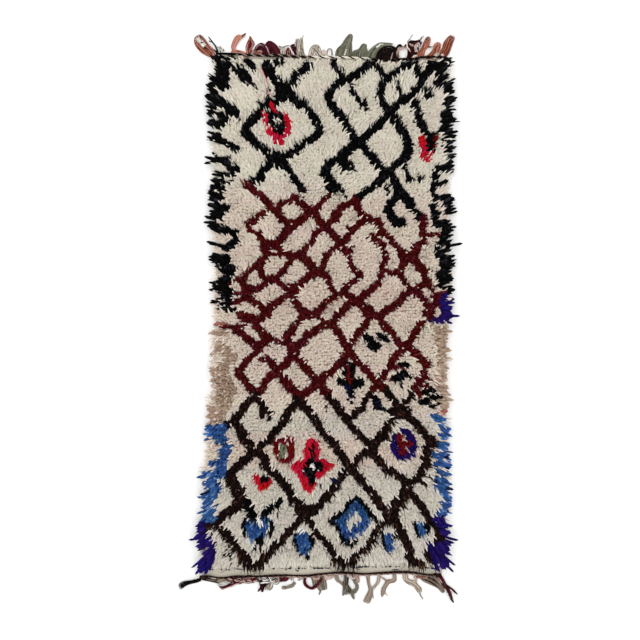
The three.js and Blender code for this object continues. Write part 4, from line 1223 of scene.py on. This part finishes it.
layTuft(top, ["sage", "olive", "grey", "sage", "umber"], 2.8,
        [(45.5, 261), (47.5, 267), (52, 272), (56, 275), (60, 277.3), (66, 277.3), (74, 277.3)],
        [(56, 259), (57, 266), (59.4, 270), (62.5, 272.6), (66, 273.4), (73.8, 272.8)], over=3)
layTuft(top, ["white", "cream"], 2.4, [(56, 273), (60, 275.8), (64, 276.6)],
        [(57, 272), (60.5, 274.8), (64, 275.8)], over=11)
layTuft(top, ["brown", "black", "brown"], 4.6,
        [(55, 258), (57, 266.5), (61.5, 272.3), (67, 274), (73, 273.4), (78, 270), (78.6, 259)],
        [(64, 258.5), (65.5, 260), (68, 260.6), (70.5, 260), (71, 258.5)], over=4, looped=True)
layTuft(top, ["brown", "black"], 4, [(58, 262), (66, 262.5), (77, 261)],
        [(58, 259.5), (66, 259.5), (77, 258.8)], over=4, looped=True)
layTuft(top, ["pink", "beige"], 2.4, [(69.5, 259), (71, 263), (73, 268)],
        [(70.5, 259), (72, 263), (73.6, 267.6)], over=13)
layTuft(top, ["black"], 3.4, [(76, 272), (77.8, 275), (80.5, 275.4), (83, 273.4), (86.5, 276)],
        [(76.5, 270.8), (78.5, 272.8), (80.5, 273.3), (83, 272), (87, 274.3)], over=3, looped=True)
layTuft(top, ["pink", "taupe", "pink"], 3, [(76.5, 260), (75.6, 266), (77, 270.8), (81, 273), (86, 273)],
        [(81.6, 260), (79.2, 265), (79.6, 269.4), (82, 271.3), (86.4, 272)], over=4, looped=True)
layTuft(top, ["maroon", "black", "umber", "oxblood"], 3.2, [(85.5, 259), (87.8, 266), (87.4, 272),
                                                            (87.2, 276.6), (90.3, 279.4), (95.4, 279),
                                                            (100.3, 281.4)],
        [(100, 259.5), (98, 264), (98.5, 269), (99.5, 273), (101, 276), (102.4, 278.4)])
layTuft(top, ["pink", "white"], 2.8, [(86.6, 277.5), (86.6, 274), (88.4, 270.5), (90.4, 267.5)],
        [(87.6, 277.5), (87.8, 274), (89.6, 270.5), (91.4, 267.7)], over=12)
layTuft(top, ["pink", "white", "maroon"], 2.8, [(95, 268), (95, 274.4), (98.6, 277.4), (100.6, 273.4)],
        [(97.5, 268), (97, 272.6), (98.5, 274), (99.4, 271.5)], over=12)
layTuft(top, ["pink", "taupe"], 2.8, [(89, 276.6), (92.5, 275), (95, 274.6)],
        [(89.4, 275.4), (92.5, 273.8), (95, 273.6)], over=11)
layTuft(top, ["pink", "white"], 2.8, [(91.8, 262.6), (95, 265), (97.5, 264)],
        [(92.2, 261.2), (95.5, 263), (98, 262.6)], over=12)
layTuft(top, ["grey"], 1.4, [(86.8, 277.6), (90, 282), (93.4, 286.6)],
        [(87, 277.2), (90.3, 281.6), (93.5, 286.1)])
layTuft(top, ["maroon", "grey"], 1.8, [(99, 280), (101.6, 282.6), (104, 284.6)],
        [(99.6, 279.4), (102, 282), (104.2, 284.2)])
layTuft(top, ["salmon", "rustAndSalmonShade", "salmon", "salmon", "rustAndSalmonShade", "salmon", "pink"], 3.2,
        [(95.5, 262.5), (99, 269), (103, 274.6), (104.4, 279.7), (106.6, 283)],
        [(104, 264.5), (106, 270.5), (109, 275.1), (111, 280.2), (110, 283)], over=4)
layTuft(top, ["rustAndSalmonShade", "taupe"], 3.4, [(105.6, 280), (107.4, 283.6)], [(109.8, 280.5), (109.8, 283.5)],
        over=8)
layTuft(top, ["maroon"], 2.6, [(107, 273.8), (113, 273.6)], [(107, 272.5), (113, 272.6)], over=2)
layTuft(top, ["salmon", "rustAndSalmonShade", "salmon", "salmon", "taupe", "salmon", "rustAndSalmonShade"], 3.2,
        [(104.5, 263.5), (109, 265.6), (112.4, 270), (113, 273.4), (115.3, 276.8), (119.6, 278)],
        [(107, 261), (112, 261.8), (117, 262.5), (119, 267.4), (120.6, 272.6), (120.6, 277.4)], over=3)
layTuft(top, ["cream", "beige", "pink"], 2.8, [(112, 262), (115, 266), (118, 268)],
        [(116, 260.5), (118, 264), (119.4, 266.5)], over=10)
layTuft(top, ["rustAndSalmonShade", "rustAndSalmonShade", "salmon", "salmonDeepShade"], 3.6,
        [(118.6, 263), (120.8, 269.5), (123, 272), (123.4, 276.5), (126, 281.2), (129.6, 284.3),
         (133.5, 285.8)],
        [(125.5, 262), (129, 267.4), (132, 274.6), (134, 279), (136, 282.2)], over=2)
layTuft(top, ["cream", "pink"], 3, [(121, 266), (121.6, 262), (121, 258)],
        [(123.4, 266), (123.8, 262), (123, 258)], over=10)

print("lower yarn ends")
low = "fringe_bottom"
layTuft(low, ["black"], 4.6, [(-118.5, -258), (-124, -259.4), (-130, -260.5), (-136, -261.6),
                              (-140, -263.6), (-142, -266.5)],
        [(-119, -260.6), (-124, -262.6), (-130, -264.3), (-135, -266.5), (-138.5, -269), (-141, -269)])
layTwist(low, ["black", "brown", "black"], [(-119, -259.4), (-126, -261.6), (-133, -263.6),
                                            (-139.5, -266.4)], [2, 2.4, 3, 3.6], turn=9, over=3)
layTuft(low, ["white", "cream"], 2.6, [(-120.5, -255), (-123.5, -257), (-125.6, -259)],
        [(-119.6, -256.4), (-122, -258), (-124.4, -259.4)], over=5)
layTuft(low, ["maroon", "grey", "maroon", "taupe"], 3.0, [(-104, -257.4), (-92, -257.6), (-78, -257),
                                                          (-64, -256.8)],
        [(-103, -262), (-92, -262.6), (-78, -263), (-64, -261.8)], looped=True)
layTuft(low, ["grey", "maroon", "black", "grey"], 2.8, [(-66, -256.8), (-58, -256.8), (-50, -256.4),
                                                        (-42, -256)],
        [(-65, -261.4), (-58, -262.4), (-50, -262), (-42, -259.6)], looped=True)
layTuft(low, ["umber", "brown", "black", "umber", "taupe"], 2.6,
        [(-117.5, -257.2), (-111, -258), (-105, -259.4), (-99, -259.6)],
        [(-117, -258.8), (-110.5, -260.3), (-105, -261.6), (-99, -262.6)], over=2)
layTuft(low, ["grey", "taupe", "grey", "sage"], 2.8, [(-103, -259.6), (-98, -259.2), (-92, -258.6)],
        [(-103, -263.2), (-97, -262.8), (-91, -262.3)], over=2)
layTuft(low, ["maroon", "madder", "maroon", "pink"], 3.4,
        [(-101.2, -266.3), (-96, -266), (-90, -263.3), (-84, -261), (-77, -258.8)],
        [(-98, -269.6), (-94, -268.2), (-88, -266), (-83, -264.3), (-77, -262.8)], over=3, looped=True)
layTuft(low, ["grey", "white"], 2.4, [(-103, -264.6), (-99, -262.8), (-94, -261.6), (-89, -262.4)],
        [(-102, -266), (-98.6, -264.2), (-94, -262.8), (-89, -263.4)], over=8)
layTuft(low, ["maroon", "pink", "madder", "maroon", "white"], 3,
        [(-96, -258.4), (-88, -258), (-79, -257.5), (-70, -257.4), (-63, -256.8)],
        [(-95, -260.6), (-88, -261.4), (-79, -262.8), (-70, -263.8), (-63, -260.6)], over=3, looped=True)
# The pink ply of this maroon cord is painted highlight: the light spots along it.
layTwist(low, ["maroon", "pink"], [(-95, -259.4), (-89, -259), (-84, -261), (-79, -259.6)], [1.7], turn=7,
         over=8)
layTwist(low, ["maroon", "pink"], [(-79, -258.5), (-75, -262), (-70, -260), (-66, -262), (-62, -258.4)],
         [1.8], turn=6, over=9)
layTuft(low, ["black", "grey", "white", "black", "grey"], 2.6,
        [(-62, -257), (-57, -257.4), (-52, -257), (-47, -257.5)],
        [(-60, -261.6), (-56, -262.6), (-51, -262.4), (-47, -260)], over=3, looped=True)
layTwist(low, ["black", "white"], [(-60, -258), (-56, -261), (-52, -258), (-48, -261.4), (-45, -257.5)],
         [1.6], turn=8, over=7)
layTuft(low, ["black", "maroon"], 3.4, [(-60.8, -259), (-60.3, -264), (-60.2, -268), (-63.2, -271.8)],
        [(-58.3, -259), (-58, -264), (-58.6, -268), (-61.6, -272.2)], over=2)
layTuft(low, ["maroon", "black", "black"], 3.6, [(-59.5, -262), (-59, -266), (-58.7, -269),
                                                 (-58.6, -272.5)], [(-51, -263), (-54.3, -266),
                                                     (-56.4, -269.5), (-56.9, -272.3)], over=4)
layTuft(low, ["grey", "white", "taupe", "grey"], 2.8, [(-53.5, -262), (-53.6, -266), (-54.8, -270.4)],
        [(-46.4, -261), (-47.2, -266), (-49.2, -271)])
layTuft(low, ["white"], 2.4, [(-59.5, -262.6), (-55, -262.2), (-50, -262)],
        [(-59.3, -263.6), (-55, -263), (-50, -262.8)], over=10)
layTuft(low, ["grey", "taupe", "white", "grey"], 2.6, [(-48.4, -256.6), (-48, -261), (-46, -264),
                                                       (-42.4, -264), (-40.2, -260.6), (-40.6, -257)],
        [(-44.6, -256.6), (-44.6, -259), (-44, -260.2), (-43, -260.2), (-42.6, -259), (-42.8, -257)],
        looped=True)
layTuft(low, ["maroon", "madder", "maroon"], 3.6, [(-41.2, -255.6), (-40.8, -259), (-40.4, -262.5)],
        [(-29, -255.6), (-30.8, -258.6), (-35, -261.6)], over=2)
layTuft(low, ["grey", "cream"], 2.8, [(-31, -256), (-29.6, -259), (-28.6, -261)],
        [(-26.5, -256), (-26, -258.6), (-26.8, -260.4)])
layTuft(low, ["grey", "taupe", "grey", "olive"], 2.8, [(-26.2, -261.2), (-28.5, -264), (-33, -265.8),
                                                       (-39, -266.5)], [(-23.7, -263.5), (-27, -267),
                                                           (-32, -269), (-38.6, -269.4)])
layTuft(low, ["brown", "taupe"], 2.6, [(-34, -267), (-36.6, -266.8), (-39, -267.2)],
        [(-34, -268.6), (-36.6, -268.6), (-38.8, -268.8)], over=6)
layTuft(low, ["beige", "cream", "beige"], 3, [(-20.4, -256), (-21, -258.6), (-22.4, -261.2)],
        [(-14.8, -256), (-17.4, -258.2), (-20.6, -260.4)])
layTuft(low, ["maroon", "madder", "maroon"], 3.4, [(-15.6, -256.5), (-16.6, -260.4), (-16, -264.5),
                                                   (-13, -268.2), (-8.3, -269.8), (-4, -267.6), (0, -262)],
        [(-13.2, -256.5), (-14.2, -260.3), (-13.6, -263.6), (-11.6, -265.9), (-8.4, -267.2),
         (-5.4, -265.4), (-1, -260)], over=2, looped=True)
layTuft(low, ["grey", "olive", "olive", "grey", "taupe"], 3,
        [(-9.6, -256), (-7.8, -262.3), (-6.4, -265.6), (-2.2, -268.6), (0, -271.8)],
        [(6.8, -256), (6.6, -262.3), (7, -266), (7.2, -269.8)])
layTuft(low, ["grey"], 2.4, [(-0.2, -270.5), (-1.4, -275.4)], [(1.4, -271), (-0.8, -275.4)])
layTuft(low, ["maroon", "madder"], 3, [(0.2, -257.5), (-1.8, -262), (-5.4, -266.6)],
        [(2.4, -258.5), (0.2, -263.4), (-3.8, -268)], over=10)
layTuft(low, ["pink", "taupe"], 2.6, [(-7, -257), (-4, -258), (0, -256.5)],
        [(-7, -259), (-3.5, -260.4), (0, -258.6)], over=10, looped=True)
layTuft(low, ["pink", "taupe", "cream", "pink"], 3, [(4, -255.4), (9, -255.8), (15, -255)],
        [(5.5, -260), (9, -259.8), (14, -256.8)], over=2, looped=True)
layTuft(low, ["grey", "taupe"], 3.2, [(14, -253), (15.6, -260), (20.4, -264.6), (23.2, -267)],
        [(17.6, -253), (19.3, -259.4), (22.6, -262), (25.6, -264.6)])
layTuft(low, ["olive", "umber", "grey", "olive"], 3, [(24.2, -252.6), (23.8, -259), (22.6, -264),
                                                      (23, -270), (22, -277)],
        [(26.6, -252.6), (26.4, -260), (26.4, -266), (26.2, -271), (24.8, -276)], over=2)
layTuft(low, ["olive", "umber", "olive", "brown", "grey"], 3,
        [(25.8, -257), (25.6, -264), (26, -270), (25.2, -275.4)],
        [(28.7, -257), (28.4, -264.5), (31.2, -269), (32.4, -275)], over=3)
layTuft(low, ["olive", "grey"], 3.2, [(28.5, -268), (31, -274.4), (33.8, -280)],
        [(32.4, -270), (33.6, -274.4), (35.2, -279.4)], over=2)
layTuft(low, ["grey", "olive", "grey"], 3.2, [(30, -253), (33.4, -257.6), (36.4, -262), (38.3, -266),
                                              (38.1, -270), (36, -273), (32.8, -274.4)],
        [(28.6, -254), (31, -258.4), (33.6, -261.8), (35.5, -265.4), (35.1, -268.4), (33.2, -269.8),
         (31, -270.4)], looped=True)
layTuft(low, ["taupe", "pink", "brown", "taupe"], 2.8, [(33, -253), (35, -260), (36.3, -263.3)],
        [(38, -253), (39.9, -260), (38.2, -263)], over=5)
layTuft(low, ["cream", "pink"], 2.6, [(30, -255.4), (31.6, -258.6), (35, -258.8), (37.6, -256)],
        [(31, -255.2), (32.4, -257), (34.6, -257.4), (36.4, -255.6)], over=7, looped=True)
layTuft(low, ["beige", "taupe", "beige"], 2.8, [(45.2, -252.8), (47, -260), (48.1, -265.5), (48.9, -270)],
        [(49.2, -252.8), (50, -260), (50.8, -265), (51.6, -270)])
layTuft(low, ["beige", "taupe", "beige", "cream"], 2.8, [(57.4, -252.8), (57, -260.6), (54.3, -264.8),
                                                         (49.8, -270)], [(61, -252.8), (60.3, -261),
                                                             (57.6, -265.6), (53.2, -271)])
layTuft(low, ["beige", "beige", "taupe"], 2.8, [(49, -269), (47.8, -273), (45, -277), (42.6, -282.4)],
        [(53, -269), (52.5, -273), (51.6, -279), (48, -284.7)], over=1)
layTuft(low, ["beige"], 2.2, [(51, -272), (52.6, -276), (53, -279)],
        [(52, -272), (53.3, -276), (53.4, -279)])
layTuft(low, ["beige", "taupe", "beige"], 2.8,
        [(72.6, -252.8), (73, -259), (70, -259.7), (66, -259.3), (65.4, -262), (63.4, -266), (61.1, -269),
         (60.7, -273), (61.4, -277.6)],
        [(76, -252.8), (76.2, -260.5), (72.5, -263), (69.4, -263.4), (68.1, -266), (65.9, -268.5),
         (65, -272), (63.5, -275.6), (62.4, -278)])
layTuft(low, ["beige", "taupe"], 2.4, [(60, -255.4), (63.4, -257.8), (66.6, -260)],
        [(60.6, -257), (63.2, -259.4), (66, -261.4)])
layTuft(low, ["taupe"], 2.2, [(64, -270.6), (66, -273.6), (68, -276.2)],
        [(63.6, -271.6), (65.6, -274.4), (67.7, -276.6)])
layTuft(low, ["beige", "taupe", "beige", "cream"], 2.9, [(82.6, -252.8), (83.5, -260), (87.8, -264.2),
                                                         (92.6, -266), (96.3, -270.6), (99, -274.6)],
        [(87.4, -252.8), (88.6, -258.4), (92, -260.2), (95.9, -261.4), (97.7, -265), (101.8, -269),
         (100.8, -273.6)])
layTuft(low, ["grey"], 1.8, [(99.2, -273), (101, -276.6), (103.2, -280)],
        [(100.2, -273), (101.6, -276.4), (103.4, -279.8)])
layTuft(low, ["cream", "pink", "beige"], 2.6, [(93.4, -252.8), (94, -258), (94.4, -261.6)],
        [(97, -252.8), (96.6, -258), (96.8, -262)], over=2)
layTuft(low, ["beige", "olive", "beige", "umber", "beige", "taupe", "olive"], 2.6,
        [(96.4, -252.8), (101, -260), (107, -263), (114, -266), (119, -269.5), (122.8, -274)],
        [(114.6, -254.8), (116, -259), (119, -263), (122, -266.5), (124.4, -269.5), (124.7, -272.6)])
layTuft(low, ["umber", "brown"], 2.2, [(99, -256.4), (107, -260.4), (114, -264), (120, -268.6)],
        [(100, -257.4), (107, -261.4), (114, -265), (120, -269.6)], over=9)
layTuft(low, ["brown", "umber"], 2.2, [(108, -257), (114, -259.6), (119, -264.6)],
        [(108, -258), (114, -260.6), (118.6, -265.4)], over=9)
layTuft(low, ["pink", "rustAndSalmonShade", "taupe"], 2.6, [(95, -255), (100, -256.4), (108, -256)],
        [(96, -258), (101, -258.6), (108, -257.8)], over=7, looped=True)
layTuft(low, ["maroon", "brown", "black"], 3.4, [(114.2, -252.8), (117.4, -259.8), (121, -263),
                                                 (124, -267), (126.6, -270)],
        [(121.2, -254.4), (122.8, -257.8), (125.8, -262.3), (127.4, -266.4), (130, -270)], over=3,
        looped=True)
layTwist(low, ["oxblood", "umber", "maroon"], [(118, -255), (121.5, -260.5), (125, -265.4), (128, -270),
                                               (130.4, -275), (131.6, -279), (133.8, -283)],
         [5, 4.4, 3.6, 3.6, 4, 3, 1.6], turn=13, over=3)
# These pink and dark red strands laid over the maroon hank are painted highlight: the pinkish light on it.
layTuft(low, ["pink", "rustAndSalmonShade"], 2.6, [(117.4, -258), (119.6, -261), (122, -264)],
        [(118.8, -257.4), (121, -260.4), (123.2, -263)], over=16)
layTuft(low, ["maroon", "black"], 3, [(127, -264.6), (131.4, -268.2), (134.5, -270.9), (138.2, -274.8)],
        [(127.4, -267), (131, -269.4), (134.1, -271.8), (138, -275)])

print("twined cords")
layTwist("twining_top", ["black", "brown", "black"], [(-104, 266), (-98, 266.4), (-84, 265.8)],
         [2.6, 2.2, 2.8, 2.4], turn=6, over=9)
layTwist("twining_top", ["brown", "beige", "black"],
         [(-84, 265.8), (-68, 264.9), (-55, 264.3), (-41, 264.8), (-24, 263.4), (-8, 263)], [2.7], turn=9,
         over=9)
layTwist("twining_top", ["cream", "black", "cream"], [(-8, 263), (4, 263), (23, 262.7), (38, 262),
                                                      (52, 261.5)], [2.5], turn=10, over=9)
layTwist("twining_top", ["black", "umber", "black"],
         [(52, 261.2), (62, 259.6), (71, 260.2), (83, 260.8), (93, 261.4), (105, 263), (120, 263),
          (128, 261.6)],
         [2.4, 2.9, 2.5, 3], turn=6, over=9)
layTwist("twining_bottom", ["black", "umber"],
         [(-120, -256.6), (-111, -256.3), (-103, -257.6), (-95, -257.6), (-84, -256.6), (-71, -256.4),
          (-59, -256.2), (-35, -255.3),
          (-13, -255.7), (-2, -254.4), (15, -252.8), (30, -253), (43, -253.8), (60, -253), (80, -252),
          (95, -252.8),
          (107, -254.7), (121.5, -254.4)],
         [2.6, 1.8, 2.8, 2, 2.9, 1.8, 2.7, 2, 2.8, 1.9, 2.6, 2.8, 2, 2.5], turn=5, over=6)
layTwist("twining_bottom", ["beige", "pink"],
         [(-60, -257.6), (-35, -256.7), (-13, -257.1), (-2, -255.8), (15, -254.2), (30, -254.4),
          (43, -255.2), (60, -254.4),
          (80, -253.4), (95, -254.2), (107, -256)], [1.8], turn=6, over=3)
layTwist("twining_bottom", ["black", "brown"], [(-120.4, -256.8), (-117, -259.4), (-109, -261),
                                                (-101, -263.2)], [1.9, 1.9, 1.9, 1.2], over=2)

# Short dark stitches of a broken line woven into the flat band, each as
# (start, stop, height on the chart, width)
stitches = [
    (-108.2, -107, -249.7, 1.1), (-98.9, -97.8, -249.7, 1.3), (-94, -92.4, -249.5, 1.6),
    (-91.6, -90.4, -249.9, 1.1),
    (-84.6, -77.6, -249.4, 0.8), (-59.4, -56.6, -249, 0.9), (-47.4, -45, -248.8, 1.3),
    (-44, -42.4, -248.6, 1), (-39, -37.4, -248.4, 1),
    (-34.8, -33.4, -249.4, 1), (-32, -28.8, -248.4, 1.8), (-25.4, -23.6, -249.2, 1.2),
    (-23.4, -20.2, -248.4, 1.8),
    (-24, -21, -251, 1.1), (-18.4, -17.2, -248.6, 1), (-15.6, -14.4, -248.8, 1),
    (-6.8, -4.6, -248.4, 1.5), (-3.8, -0.2, -248.4, 1.5),
    (0.2, 3.4, -248.4, 1.4), (4.4, 7, -248.2, 0.9), (7.4, 9.8, -248.4, 0.9), (31, 36, -247.3, 1.2),
    (37.5, 43.5, -247.2, 1.7),
    (44, 49.4, -246.9, 1.3), (51.8, 53.2, -246.9, 1), (55.2, 56.8, -247.2, 1), (62.2, 63.4, -247, 1.2),
    (65.6, 67.2, -246.8, 1.6),
    (69, 71.4, -246.8, 1.4), (75.2, 77, -246.8, 1.3), (79, 80, -246.8, 0.9), (71.8, 79, -249.8, 0.8),
    (105.6, 109.4, -247.8, 1.7),
    (111, 118, -248.4, 1.8),
]
for start, stop, high, wide in stitches:
    dye = "violet" if wide < 0.85 else "navy"
    tilt = yarnRandom.normal(0, 0.35)
    line = smoothLine([(start, high - tilt), ((start + stop) / 2, high + 0.1), (stop, high + tilt)],
                      yarns["rings"] + 1)
    arch = np.sin(np.linspace(0, np.pi, yarns["rings"] + 1)) ** 0.5
    path = onFloor(line, ground["thickness"] + 1 * mm + wide * 2 * mm * arch)
    keepStrand("stitches", dye, path, np.full(yarns["rings"], wide * 2 * mm) * (0.55 + 0.45 * arch[:-1]))

# Two loose threads that lie over the pile at the upper left
looseThreads = [
    ("pink", [(-59.5, 252), (-57, 247), (-54.5, 241), (-53, 235), (-52, 230), (-49.5, 225)], 0.9),
    ("red", [(-58, 251), (-55, 244), (-53, 238), (-52.4, 231), (-49, 226), (-47.6, 222.5)], 0.5),
    ("wine", [(-51.5, 230), (-53.4, 226), (-53, 222)], 0.5),
]
for dye, points, wide in looseThreads:
    line = smoothLine(points, yarns["rings"] + 1)
    keepStrand("threads", dye, onFloor(line, 37 * mm), np.full(yarns["rings"], wide * 2 * mm))

yarnSlots = {"fringe_top": "dyed_wool_yarn", "fringe_bottom": "undyed_wool_yarn",
             "twining_top": "dark_wool_cord",
             "twining_bottom": "dark_wool_cord", "stitches": "wool_pile", "threads": "wool_pile"}
yarnPieces = []
for group, slotName in yarnSlots.items():
    lengths = sorted({len(path) for kept, dye, path, radii in laidStrands if kept == group})
    for part, size in enumerate(lengths):
        some = [s for s in laidStrands if s[0] == group and len(s[2]) == size]
        paths = np.array([s[2] for s in some])
        radii = np.array([s[3] for s in some])
        aside = np.tile([0.0, 0.0, 1.0], (len(some), 1))
        points, faces, cell = sweepStrands(paths[:, :-1], paths[:, -1], radii, aside, 4)
        along = np.array([np.append(np.repeat(np.linspace(0, 1, size - 1), 4), 1.0)])
        kind = group if part == 0 else f"{group}_{part + 1}"
        yarnPieces += strandPieces(kind, np.array([s[1] for s in some]), points, faces, cell, along,
                                   yarnRandom.random((len(some), 1)),
                                   replaced=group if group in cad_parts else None, lift=0.15)
print("yarn strands", len(laidStrands))
